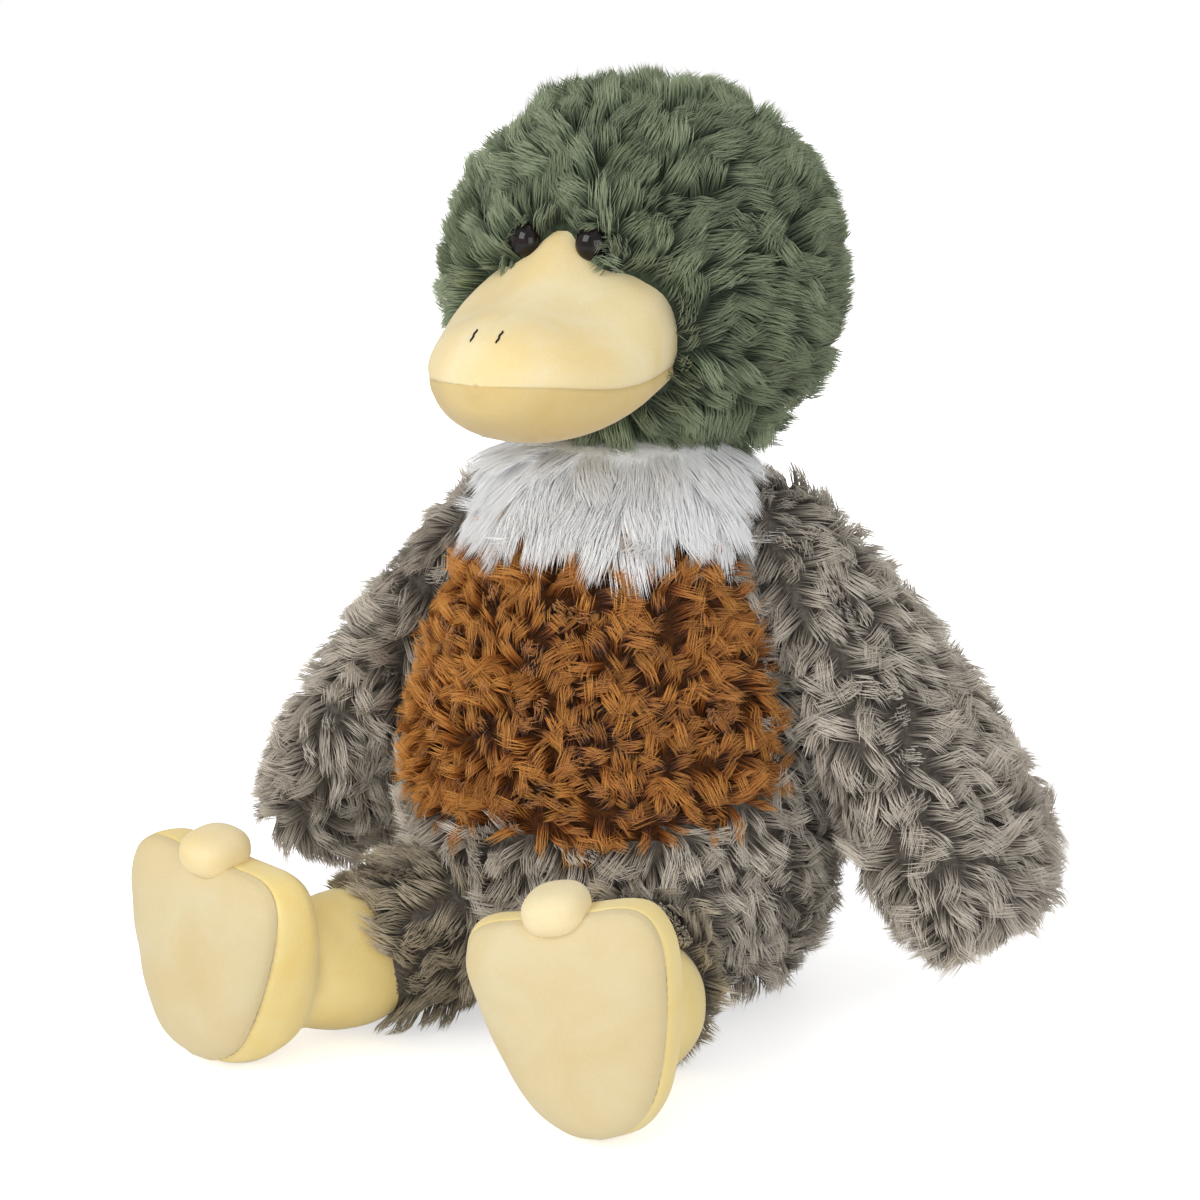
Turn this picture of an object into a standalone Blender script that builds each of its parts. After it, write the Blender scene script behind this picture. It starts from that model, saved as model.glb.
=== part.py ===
"""Plush duck: sewn covers over stuffing, with a head, wings, legs and feet that move.

The duck sits on z = 0 and faces -Y, and +X is its own left side. Sizes are in metres.
"""

import math

import bmesh
import bpy
from mathutils import Matrix, Vector

MM = 0.001

# Fabric and gaps
COVER = 7 * MM
BACKING = 1.5 * MM
GAP = 0.3 * MM
FILLING_GAP = 0.8 * MM
FLOOR_TRIM = 0.5 * MM
OVERRUN = 40 * MM
SOFTNESS = 1
BALL_SEGMENTS = 24
BALL_RINGS = 12

# Torso, a pear that leans forward at the chest
TORSO_HEIGHT = 202 * MM
TORSO_WIDTH = 166 * MM
TORSO_DEPTH = 160 * MM
TORSO_LEAN = 12 * MM
TORSO_POINTS = 12
torso_shares = (
    # height, width, depth, lean
    (0.00, 0.66, 0.66, 0.0),
    (0.05, 0.86, 0.84, 0.0),
    (0.22, 1.01, 1.00, 0.0),
    (0.42, 0.99, 0.99, 0.3),
    (0.66, 0.82, 0.82, 0.8),
    (0.88, 0.60, 0.61, 0.3),
    (1.00, 0.42, 0.435, 0.0),
)
BASE_RADIUS = 52 * MM
BEAN_TOP = 42 * MM
CHEST_BOTTOM = 84 * MM
COLLAR_BOTTOM = 172 * MM
COLLAR_TOP = 190 * MM
FRONT_HALF_ANGLE = math.radians(76)
REGION_STEPS = 6

# Neck, a ball that the head turns and nods on, centred a drop below the collar's top
NECK_DROP = 19 * MM
NECK_RADIUS = 38 * MM

# Head, whose centre stands a rise above the neck's and a little behind it
HEAD_WIDTH = 151 * MM
HEAD_DEPTH = 143 * MM
HEAD_HEIGHT = 142 * MM
HEAD_BACK = 16 * MM
HEAD_RISE = 92 * MM
HEAD_POINTS = 12
HEAD_RINGS = 6

# Bill, from inside the head to its tip, with the mouth seam a drop below the head's centre
BILL_LENGTH = 78 * MM
BILL_WIDTH = 86 * MM
BILL_CROWN = 52 * MM
BILL_JAW = 22 * MM
BILL_ROOT = 30 * MM
MOUTH_DROP = 30 * MM
MOUTH_SAG = 1 * MM
BILL_COVER = 2.5 * MM
BILL_POINTS = 12
bill_shares = (
    # along, width, crown, jaw, peak
    (0.00, 0.98, 1.14, 0.70, 3.0),
    (0.20, 1.00, 1.08, 0.88, 2.9),
    (0.38, 0.94, 0.84, 1.00, 2.2),
    (0.58, 0.80, 0.56, 1.02, 1.4),
    (0.80, 0.62, 0.44, 0.96, 1.0),
    (1.00, 0.34, 0.22, 0.62, 1.0),
)

# Eyes, domes on shanks that a washer locks behind the cover
EYE_RADIUS = 6 * MM
EYE_RISE = 4.5 * MM
EYE_SPACING = 27 * MM
EYE_ABOVE_HEAD_CENTRE = 16 * MM
EYE_SEGMENTS = 12
EYE_RINGS = 4
SHANK_RADIUS = 1.8 * MM
SHANK_TAIL = 8 * MM
WASHER_RADIUS = 7 * MM
WASHER_THICKNESS = 1.5 * MM
WASHER_SLACK = 1.9 * MM

# Wings, teardrops that hang from the shoulders
WING_LENGTH = 186 * MM
WING_WIDTH = 104 * MM
WING_THICKNESS = 62 * MM
WING_FLARE = math.radians(29.5)
WING_TUCK = 32.5 * MM
WING_TOP_HEIGHT = 191.5 * MM
WING_SET_BACK = 17 * MM
WING_POINTS = 8
wing_shares = (
    # along, width, thickness, back
    (0.00, 0.36, 0.30, 0.0),
    (0.16, 0.58, 0.52, 0.0),
    (0.42, 0.87, 0.81, 0.2),
    (0.70, 1.05, 1.06, 0.3),
    (0.92, 0.92, 0.96, 0.2),
    (1.00, 0.58, 0.60, 0.1),
)
WING_SWEEP = 8 * MM
WING_SEAM_OFFSET = 4 * MM

# Legs, short tubes with a ball in the torso's hip sockets
LEG_SPLAY = {"left": math.radians(29), "right": math.radians(33)}
HIP_REACH = 77 * MM
HIP_HEIGHT = 32 * MM
HIP_RADIUS = 31.5 * MM
LEG_RADIUS = 30 * MM
LEG_POINTS = 8
LEG_LENGTH = {"left": 23 * MM, "right": 32 * MM}
LEG_END_SET_BACK = 6 * MM
ANKLE_HEIGHT = 27 * MM
ANKLE_RADIUS = 23 * MM
leg_shares = (
    # along from the hip in hip radii, radius in hip radii
    (-0.90, 0.50),
    (-0.46, 0.94),
    (0.10, 1.02),
)

# Feet, which stand on their heels with the soles forward
FOOT_YAW = {"left": math.radians(11), "right": math.radians(22)}
SOLE_YAW = {"left": math.radians(9), "right": math.radians(11)}
FOOT_ROLL = math.radians(8)
FOOT_LENGTH = 67 * MM
FOOT_HEIGHT = 83 * MM
FOOT_WIDTH = 68 * MM
FOOT_COVER = 2.5 * MM
FOOT_POINTS = 12
CUFF_RADIUS = 22 * MM
CUFF_END = 22 * MM
SOLE_SEAM = 60 * MM
TOES = 3
TAPER_SHARE = 0.13
TOE_LOBE_SHARE = 0.05
SQUARE_SHARE = 0.06
TOE_RADIUS = 9.5 * MM
TOE_LENGTH = 26 * MM
TOE_LEAN = math.radians(38)
TOE_DROP = 6 * MM
TOE_SEGMENTS = 12
TOE_RINGS = 8
foot_shares = (
    # along, blend from cuff to sole, size
    (-0.30, 0.0, 0.92),
    (0.00, 0.0, 1.00),
    (0.38, 0.12, 1.02),
    (0.72, 0.95, 1.00),
    (0.94, 1.0, 1.02),
    (1.00, 1.0, 0.84),
)

# Tail, a small fixed tuft of the back
TAIL_LENGTH = 46 * MM
TAIL_WIDTH = 46 * MM
TAIL_THICKNESS = 26 * MM
TAIL_HEIGHT = 44 * MM
TAIL_RISE = math.radians(38)
TAIL_INSET = 14 * MM
TAIL_POINTS = 8
tail_shares = (
    # along, width, thickness
    (0.00, 0.80, 0.90),
    (0.35, 1.00, 1.00),
    (0.75, 0.76, 0.66),
    (1.00, 0.34, 0.30),
)

SIDES = {"left": 1, "right": -1}
GREY = (0.29, 0.26, 0.22)
GREEN = (0.11, 0.17, 0.09)
BROWN = (0.26, 0.10, 0.03)
WHITE = (0.75, 0.75, 0.77)
YELLOW = (0.86, 0.68, 0.33)
SOLE_YELLOW = (0.88, 0.74, 0.45)
FILLING = (0.80, 0.79, 0.76)
BLACK = (0.01, 0.01, 0.01)


def clear_scene():
    for item in list(bpy.data.objects):
        bpy.data.objects.remove(item, do_unlink=True)


def new_collection(name):
    made = bpy.data.collections.new(name)
    bpy.context.scene.collection.children.link(made)
    return made


def finish(name, colour, roughness=0.9):
    made = bpy.data.materials.new(name)
    made.use_nodes = True
    shader = made.node_tree.nodes["Principled BSDF"]
    shader.inputs["Base Color"].default_value = (*colour, 1)
    shader.inputs["Roughness"].default_value = roughness
    shader.inputs["Metallic"].default_value = 0
    return made


def mesh_object(name, shape, collection):
    """An object that holds a bmesh."""
    mesh = bpy.data.meshes.new(name)
    bmesh.ops.recalc_face_normals(shape, faces=shape.faces)
    shape.to_mesh(mesh)
    shape.free()
    mesh.shade_smooth()
    made = bpy.data.objects.new(name, mesh)
    collection.objects.link(made)
    return made


def smoothing(points):
    """How much subdivision draws a ring of points in towards its centre."""
    return (2 + math.cos(math.tau / points)) / 3


def ellipse(centre, across, up, half_width, half_height, points):
    """A ring of cage points whose smoothed outline has the stated half sizes."""
    grow = 1 / smoothing(points)
    turns = [math.tau * step / points for step in range(points)]
    return [
        centre + across * (half_width * grow * math.cos(turn)) + up * (half_height * grow * math.sin(turn))
        for turn in turns
    ]


def loft_mesh(name, rings):
    """A closed cage through rings of points, with flat ends."""
    shape = bmesh.new()
    loops = [[shape.verts.new(point) for point in ring] for ring in rings]
    count = len(rings[0])
    for lower, upper in zip(loops, loops[1:]):
        for step in range(count):
            after = (step + 1) % count
            shape.faces.new((lower[step], lower[after], upper[after], upper[step]))
    shape.faces.new(reversed(loops[0]))
    shape.faces.new(loops[-1])
    bmesh.ops.recalc_face_normals(shape, faces=shape.faces)
    mesh = bpy.data.meshes.new(name)
    shape.to_mesh(mesh)
    shape.free()
    mesh.shade_smooth()
    return mesh


def soften(thing):
    smooth = thing.modifiers.new("soft", "SUBSURF")
    smooth.levels = SOFTNESS
    smooth.render_levels = SOFTNESS


def swell(thing, distance):
    """Moves a surface outwards, or inwards where the distance is negative."""
    grow = thing.modifiers.new("swell", "DISPLACE")
    grow.mid_level = 0
    grow.strength = distance


def combine(thing, other, operation):
    made = thing.modifiers.new(other.name, "BOOLEAN")
    made.operation = operation
    made.object = other
    made.solver = "EXACT"


def keep_inside(thing, *regions):
    for region in regions:
        combine(thing, region, "INTERSECT")


def cut_away(thing, *cutters):
    for cutter in cutters:
        combine(thing, cutter, "DIFFERENCE")


class Workshop:
    """Holds the two collections and makes pieces and cutters in them."""

    def __init__(self):
        self.parts = new_collection("plush_duck")
        self.cutters = new_collection("cutters")

    def place(self, name, mesh, material):
        made = bpy.data.objects.new(name, mesh)
        made.data.materials.append(material)
        self.parts.objects.link(made)
        return made

    def panel(self, name, mesh, material, thickness):
        """A sewn cover: the outer layer of a form."""
        made = self.place(name, mesh.copy(), material)
        soften(made)
        layer = made.modifiers.new("layer", "SOLIDIFY")
        layer.thickness = thickness
        layer.offset = -1
        return made

    def filling(self, name, mesh, material, thickness):
        """What a cover holds: the form inside it."""
        made = self.place(name, mesh.copy(), material)
        soften(made)
        swell(made, -(thickness + FILLING_GAP))
        return made

    def joint(self, name, point, pieces):
        """An empty on a joint's axis that carries the moving pieces, which stay where they are."""
        pivot = bpy.data.objects.new(name, None)
        pivot.location = point
        self.parts.objects.link(pivot)
        for piece in pieces:
            piece.parent = pivot
            piece.matrix_parent_inverse = Matrix.Translation(-point)
        return pivot

    def hide(self, thing):
        thing.hide_render = True
        thing.display_type = "WIRE"
        return thing

    def clearance(self, name, mesh, distance):
        """A form that is cut out of its neighbours."""
        made = bpy.data.objects.new(name, mesh.copy())
        self.cutters.objects.link(made)
        soften(made)
        swell(made, distance)
        return self.hide(made)

    def socket(self, name, centre, radius):
        """A ball whose flat faces lie outside a true ball of this radius."""
        corners = radius / math.cos(math.pi / BALL_SEGMENTS) / math.cos(math.pi / 2 / BALL_RINGS)
        shape = bmesh.new()
        bmesh.ops.create_uvsphere(shape, u_segments=BALL_SEGMENTS, v_segments=BALL_RINGS, radius=corners)
        bmesh.ops.translate(shape, verts=shape.verts, vec=centre)
        return self.hide(mesh_object(name, shape, self.cutters))

    def drum(self, name, base, axis, radius, height, segments=EYE_SEGMENTS):
        """A cylinder that stands on a base point along an axis."""
        shape = bmesh.new()
        bmesh.ops.create_cone(
            shape, cap_ends=True, segments=segments, radius1=radius, radius2=radius, depth=height
        )
        turn = axis.to_track_quat("Z", "Y").to_matrix().to_4x4()
        bmesh.ops.transform(shape, verts=shape.verts, matrix=Matrix.Translation(base + axis * height / 2) @ turn)
        return self.hide(mesh_object(name, shape, self.cutters))

    def slab(self, name, point, axis, reach, depth):
        """A box that starts at a point and runs along an axis."""
        shape = bmesh.new()
        bmesh.ops.create_cube(shape, size=1)
        bmesh.ops.scale(shape, verts=shape.verts, vec=(2 * reach, 2 * reach, depth))
        turn = axis.to_track_quat("Z", "Y").to_matrix().to_4x4()
        bmesh.ops.transform(shape, verts=shape.verts, matrix=Matrix.Translation(point + axis * depth / 2) @ turn)
        return self.hide(mesh_object(name, shape, self.cutters))

    def wedge(self, name, middle, half_angle, low, high):
        """A sector about the torso's axis, set back from its seams by half a gap."""
        apex_shift = GAP / 2 / math.sin(half_angle)
        turns = [middle + half_angle * (2 * step / REGION_STEPS - 1) for step in range(REGION_STEPS + 1)]
        apex = Vector((math.sin(middle), -math.cos(middle), 0)) * apex_shift
        reach = TORSO_WIDTH
        outline = [apex] + [apex + Vector((math.sin(t), -math.cos(t), 0)) * reach for t in turns]
        shape = bmesh.new()
        bottom = [shape.verts.new((p.x, p.y, low)) for p in outline]
        top = [shape.verts.new((p.x, p.y, high)) for p in outline]
        count = len(outline)
        for step in range(count):
            after = (step + 1) % count
            shape.faces.new((bottom[step], bottom[after], top[after], top[step]))
        shape.faces.new(reversed(bottom))
        shape.faces.new(top)
        return self.hide(mesh_object(name, shape, self.cutters))


def heading(angle):
    """A level direction, turned from straight ahead towards the duck's left."""
    return Vector((math.sin(angle), -math.cos(angle), 0))


UP = Vector((0, 0, 1))
ACROSS = Vector((1, 0, 0))
BACK = Vector((0, 1, 0))
FLOOR = Vector((0, 0, 0))
NECK = Vector((0, 0, COLLAR_TOP - NECK_DROP))
HEAD_CENTRE = NECK + BACK * HEAD_BACK + UP * HEAD_RISE
MOUTH_HEIGHT = HEAD_CENTRE.z - MOUTH_DROP


def torso_form():
    rings = []
    for height, width, depth, lean in torso_shares:
        centre = Vector((0, -lean * TORSO_LEAN, height * TORSO_HEIGHT - FLOOR_TRIM))
        rings.append(
            ellipse(centre, ACROSS, BACK, width * TORSO_WIDTH / 2, depth * TORSO_DEPTH / 2, TORSO_POINTS)
        )
    return loft_mesh("torso_form", rings)


def head_form():
    rings = []
    grow = 1 / smoothing(2 * HEAD_RINGS)
    for step in range(HEAD_RINGS):
        polar = math.pi * (step + 0.5) / HEAD_RINGS
        centre = HEAD_CENTRE - UP * (HEAD_HEIGHT / 2 * grow * math.cos(polar))
        spread = grow * math.sin(polar)
        rings.append(
            ellipse(centre, ACROSS, BACK, spread * HEAD_WIDTH / 2, spread * HEAD_DEPTH / 2, HEAD_POINTS)
        )
    return loft_mesh("head_form", rings)


def bill_form():
    rings = []
    for along, width, crown, jaw, peak in bill_shares:
        y = -(BILL_ROOT + along * BILL_LENGTH)
        seam = MOUTH_HEIGHT - MOUTH_SAG * along
        grow = 1 / smoothing(BILL_POINTS)
        ring = []
        for step in range(BILL_POINTS):
            turn = math.tau * step / BILL_POINTS
            rise = math.sin(turn)
            if rise > 0:
                height = crown * BILL_CROWN * rise**peak
            else:
                height = jaw * BILL_JAW * rise
            ring.append(Vector((width * BILL_WIDTH / 2 * grow * math.cos(turn), y, seam + height * grow)))
        rings.append(ring)
    return loft_mesh("bill_form", rings)


def wing_axes(side):
    """The wing's own directions: down its length, across its width and out through its face."""
    down = Vector((side * math.sin(WING_FLARE), 0, -math.cos(WING_FLARE)))
    out = Vector((side * math.cos(WING_FLARE), 0, math.sin(WING_FLARE)))
    return down, BACK, out


def wing_root(side):
    """The top of the wing's middle line, tucked in from the torso's side, which its hinge passes through."""
    return Vector((side * (TORSO_WIDTH / 2 - WING_TUCK), WING_SET_BACK, WING_TOP_HEIGHT))


def wing_form(side):
    down, across, out = wing_axes(side)
    top = wing_root(side)
    rings = []
    for along, width, thickness, back in wing_shares:
        centre = top + down * (along * WING_LENGTH) + BACK * (back * WING_SWEEP)
        rings.append(
            ellipse(centre, across, out, width * WING_WIDTH / 2, thickness * WING_THICKNESS / 2, WING_POINTS)
        )
    return loft_mesh("wing_form", rings)


def hip(name):
    return heading(SIDES[name] * LEG_SPLAY[name]) * HIP_REACH + UP * HIP_HEIGHT


def ankle(name):
    reach = HIP_REACH + LEG_LENGTH[name]
    return heading(SIDES[name] * LEG_SPLAY[name]) * reach + UP * ANKLE_HEIGHT


def leg_form(name):
    start = hip(name)
    end = ankle(name)
    along = (end - start).normalized()
    across = along.cross(UP).normalized()
    up = across.cross(along)
    rings = []
    for reach, radius in leg_shares:
        size = radius * HIP_RADIUS
        rings.append(ellipse(start + along * (reach * HIP_RADIUS), across, up, size, size, LEG_POINTS))
    rings.append(ellipse(end, across, up, LEG_RADIUS, LEG_RADIUS, LEG_POINTS))
    rings.append(ellipse(end + along * ANKLE_RADIUS, across, up, ANKLE_RADIUS, ANKLE_RADIUS, LEG_POINTS))
    return loft_mesh("leg_form", rings)


def foot_axes(name):
    side = SIDES[name]
    forward = heading(side * FOOT_YAW[name])
    turn = Matrix.Rotation(side * FOOT_ROLL, 3, forward)
    up = turn @ UP
    return forward, forward.cross(up).normalized(), up


def sole_axes(name):
    """The sole's own forward and sideways directions, turned from the foot's."""
    _, _, up = foot_axes(name)
    forward = heading(SIDES[name] * SOLE_YAW[name])
    across = forward.cross(up).normalized()
    return up.cross(across), across


def sole_point(turn):
    """A point of the sole's outline: an egg with its narrow end at the heel and three toes on top."""
    x = math.cos(turn)
    y = math.sin(turn)
    narrow = 1 + TAPER_SHARE * y
    toes = 1 + TOE_LOBE_SHARE * max(y, 0) ** 2 * math.cos(2 * TOES * (turn - math.pi / 2))
    square = 1 + SQUARE_SHARE * math.sin(2 * turn) ** 2
    return x * narrow * toes * square, y * toes * square


def foot_form(name):
    forward, foot_across, up = foot_axes(name)
    _, sole_across = sole_axes(name)
    start = ankle(name)
    middle = FOOT_HEIGHT / 2 - FLOOR_TRIM - ANKLE_HEIGHT
    grow = 1 / smoothing(FOOT_POINTS)
    rings = []
    for along, blend, size in foot_shares:
        centre = start + forward * (along * FOOT_LENGTH) + up * (middle * blend)
        across = foot_across.lerp(sole_across, blend).normalized()
        ring = []
        for step in range(FOOT_POINTS):
            turn = math.tau * step / FOOT_POINTS
            x, y = sole_point(turn)
            wide = (1 - blend) * CUFF_RADIUS * math.cos(turn) + blend * FOOT_WIDTH / 2 * x
            tall = (1 - blend) * CUFF_RADIUS * math.sin(turn) + blend * FOOT_HEIGHT / 2 * y
            ring.append(centre + across * (wide * size * grow) + up * (tall * size * grow))
        rings.append(ring)
    return loft_mesh("foot_form", rings)


def toe_mesh(name, margin):
    """The middle toe, a small bolster bent forward over the top of the sole."""
    forward, _, up = foot_axes(name)
    facing, across = sole_axes(name)
    top = ankle(name) + up * (FOOT_HEIGHT - FLOOR_TRIM - ANKLE_HEIGHT - TOE_DROP) + forward * SOLE_SEAM
    turn = Matrix((across, up, -facing)).transposed().to_4x4()
    lean = Matrix.Rotation(-TOE_LEAN, 4, "X")
    shape = bmesh.new()
    bmesh.ops.create_uvsphere(shape, u_segments=TOE_SEGMENTS, v_segments=TOE_RINGS, radius=1)
    size = Vector((TOE_RADIUS + margin, TOE_LENGTH / 2 + margin, TOE_RADIUS + margin))
    bmesh.ops.scale(shape, verts=shape.verts, vec=size)
    bmesh.ops.transform(shape, verts=shape.verts, matrix=Matrix.Translation(top) @ turn @ lean)
    return shape


def tail_form():
    along_axis = Vector((0, math.cos(TAIL_RISE), math.sin(TAIL_RISE)))
    up = Vector((0, -math.sin(TAIL_RISE), math.cos(TAIL_RISE)))
    root = Vector((0, TORSO_DEPTH / 2 - TAIL_INSET, TAIL_HEIGHT))
    rings = []
    for along, width, thickness in tail_shares:
        centre = root + along_axis * (along * TAIL_LENGTH)
        rings.append(
            ellipse(centre, ACROSS, up, width * TAIL_WIDTH / 2, thickness * TAIL_THICKNESS / 2, TAIL_POINTS)
        )
    return loft_mesh("tail_form", rings)


def make_torso(shop, form, sockets):
    """The torso's panels, from the base up, and the two fillings that they hold."""
    grey = finish("taupe_pile", GREY)
    brown = finish("rust_pile", BROWN)
    white = finish("white_pile", WHITE)
    lining = finish("base_cloth", GREY)
    beans = finish("bean_bag_cloth", WHITE)
    fibre = finish("torso_fibre", FILLING)
    half = GAP / 2
    disc = shop.drum("base_disc", FLOOR, UP, BASE_RADIUS, COVER + GAP, TORSO_POINTS * 2)
    disc_room = shop.drum(
        "base_disc_room", -UP * OVERRUN, UP, BASE_RADIUS + GAP, OVERRUN + COVER + GAP, TORSO_POINTS * 2
    )
    front_low = shop.wedge("belly_region", 0, FRONT_HALF_ANGLE, 0, CHEST_BOTTOM - half)
    front_high = shop.wedge("chest_region", 0, FRONT_HALF_ANGLE, CHEST_BOTTOM + half, COLLAR_BOTTOM - half)
    back_half_angle = (math.pi - FRONT_HALF_ANGLE) / 2
    base = shop.panel("base_panel", form, lining, COVER)
    keep_inside(base, disc)
    cut_away(base, *sockets)
    belly = shop.panel("belly_panel", form, grey, COVER)
    keep_inside(belly, front_low)
    cut_away(belly, disc_room, *sockets)
    chest = shop.panel("chest_panel", form, brown, COVER)
    keep_inside(chest, front_high)
    for name, side in SIDES.items():
        middle = side * (math.pi - back_half_angle)
        region = shop.wedge("back_region_" + name, middle, back_half_angle, 0, COLLAR_BOTTOM - half)
        back = shop.panel("back_panel_" + name, form, grey, COVER)
        keep_inside(back, region)
        cut_away(back, disc_room, *sockets)
    collar = shop.panel("collar", form, white, COVER)
    collar_low = UP * (COLLAR_BOTTOM + half)
    keep_inside(collar, shop.slab("collar_region", collar_low, UP, TORSO_WIDTH, COLLAR_TOP - collar_low.z))
    bag = shop.filling("bean_bag", form, beans, COVER)
    keep_inside(bag, shop.slab("bag_region", FLOOR, UP, TORSO_WIDTH, BEAN_TOP - half))
    cut_away(bag, *sockets)
    stuffing = shop.filling("torso_stuffing", form, fibre, COVER)
    stuffing_low = UP * (BEAN_TOP + half)
    region = shop.slab("stuffing_region", stuffing_low, UP, TORSO_WIDTH, COLLAR_TOP - stuffing_low.z)
    keep_inside(stuffing, region)
    cut_away(stuffing, *sockets)


def make_neck(shop):
    """The ball-topped plug between the collar and the head."""
    shape = bmesh.new()
    bmesh.ops.create_uvsphere(shape, u_segments=BALL_SEGMENTS, v_segments=BALL_RINGS, radius=NECK_RADIUS)
    bmesh.ops.translate(shape, verts=shape.verts, vec=NECK)
    neck = mesh_object("neck_stuffing", shape, shop.parts)
    neck.data.materials.append(finish("neck_fibre", FILLING))
    keep_inside(neck, shop.slab("neck_region", UP * (COLLAR_TOP + GAP), UP, TORSO_WIDTH, TORSO_HEIGHT))
    shop.joint("neck_joint", NECK, [neck])


def eye_axes(side):
    """The eye's seat on the head and the way it looks."""
    x = side * EYE_SPACING / 2
    z = EYE_ABOVE_HEAD_CENTRE
    share = 1 - (x / (HEAD_WIDTH / 2)) ** 2 - (z / (HEAD_HEIGHT / 2)) ** 2
    y = -math.sqrt(share) * HEAD_DEPTH / 2
    spot = Vector((x, y, z))
    look = Vector((x / HEAD_WIDTH**2, y / HEAD_DEPTH**2, z / HEAD_HEIGHT**2)).normalized()
    return HEAD_CENTRE + spot - look * (COVER - BACKING), look


def eye_recess(shop, name):
    """The room that an eye takes in front of its seat."""
    seat, look = eye_axes(SIDES[name])
    return shop.drum("eye_recess_" + name, seat - look * GAP, look, EYE_RADIUS + GAP, OVERRUN)


def make_head(shop, form, dish, recesses):
    green = finish("green_pile", GREEN)
    fibre = finish("head_fibre", FILLING)
    washer_rooms = []
    pieces = []
    for name, side in SIDES.items():
        seat, look = eye_axes(side)
        tail = BACKING + SHANK_TAIL
        hole = shop.drum("shank_hole_" + name, seat - look * tail, look, SHANK_RADIUS + GAP, tail + GAP)
        back = seat - look * (tail + GAP)
        washer_rooms.append(shop.drum("washer_room_" + name, back, look, WASHER_RADIUS + GAP, OVERRUN))
        cover = shop.panel("head_cover_" + name, form, green, COVER)
        start = HEAD_CENTRE + ACROSS * (side * GAP / 2)
        keep_inside(cover, shop.slab("head_side_" + name, start, ACROSS * side, HEAD_HEIGHT * 2, HEAD_WIDTH))
        cut_away(cover, dish, recesses[name], hole)
        pieces.append(cover)
    stuffing = shop.filling("head_stuffing", form, fibre, COVER)
    cut_away(stuffing, dish, *washer_rooms)
    return [*pieces, stuffing]


def make_eyes(shop):
    """Each eye is one turned piece: dome, then shank. Its washer grips the shank behind the cover."""
    gloss = finish("eye_gloss", BLACK, roughness=0.08)
    washer_plastic = finish("washer_plastic", WHITE, roughness=0.5)
    pieces = []
    for name, side in SIDES.items():
        seat, look = eye_axes(side)
        tail = BACKING + SHANK_TAIL
        profile = [(0, EYE_RISE)]
        for step in range(1, EYE_RINGS + 1):
            turn = math.pi / 2 * step / EYE_RINGS
            profile.append((EYE_RADIUS * math.sin(turn), EYE_RISE * math.cos(turn)))
        profile += [(SHANK_RADIUS, 0), (SHANK_RADIUS, -tail), (0, -tail)]
        mesh = turned_mesh("eye_" + name, profile)
        eye = shop.place("eye_" + name, mesh, gloss)
        spin(eye, seat, look)
        depth = BACKING + WASHER_SLACK
        ring = [
            (WASHER_RADIUS, -depth),
            (WASHER_RADIUS, -depth - WASHER_THICKNESS),
            (SHANK_RADIUS + GAP, -depth - WASHER_THICKNESS),
            (SHANK_RADIUS + GAP, -depth),
        ]
        washer_mesh = turned_mesh("eye_washer_" + name, ring, closed=True)
        washer = shop.place("eye_washer_" + name, washer_mesh, washer_plastic)
        spin(washer, seat, look)
        pieces += [eye, washer]
    return pieces


def turned_mesh(name, profile, closed=False):
    mesh = bpy.data.meshes.new(name)
    points = [(radius, 0, height) for radius, height in profile]
    edges = [(step, step + 1) for step in range(len(points) - 1)]
    if closed:
        edges.append((len(points) - 1, 0))
    mesh.from_pydata(points, edges, [])
    return mesh


def spin(thing, seat, look):
    """Turns a profile about its own axis and stands it on its seat."""
    turned = thing.modifiers.new("turned", "SCREW")
    turned.axis = "Z"
    turned.steps = EYE_SEGMENTS
    turned.render_steps = EYE_SEGMENTS
    turned.use_merge_vertices = True
    turned.merge_threshold = GAP / 10
    turned.use_smooth_shade = True
    thing.location = seat
    thing.rotation_mode = "QUATERNION"
    thing.rotation_quaternion = look.to_track_quat("Z", "Y")


def make_bill(shop, form, head_room, recesses):
    """Upper and lower bill, split at the mouth seam, round their stuffing."""
    velour = finish("bill_velour", YELLOW)
    fibre = finish("bill_fibre", FILLING)
    slope = math.atan2(MOUTH_SAG, BILL_LENGTH)
    seam = Vector((0, -BILL_ROOT, MOUTH_HEIGHT))
    up = Vector((0, -math.sin(slope), math.cos(slope)))
    reach = BILL_LENGTH + BILL_ROOT
    above = shop.slab("above_mouth", seam + up * (GAP / 2), up, reach, reach)
    below = shop.slab("below_mouth", seam - up * (GAP / 2), -up, reach, reach)
    pieces = []
    for name, region in (("upper_bill", above), ("lower_bill", below)):
        cover = shop.panel(name, form, velour, BILL_COVER)
        keep_inside(cover, region)
        cut_away(cover, *recesses.values(), head_room)
        pieces.append(cover)
    stuffing = shop.filling("bill_stuffing", form, fibre, BILL_COVER)
    cut_away(stuffing, *recesses.values(), head_room)
    return [*pieces, stuffing]


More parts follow.
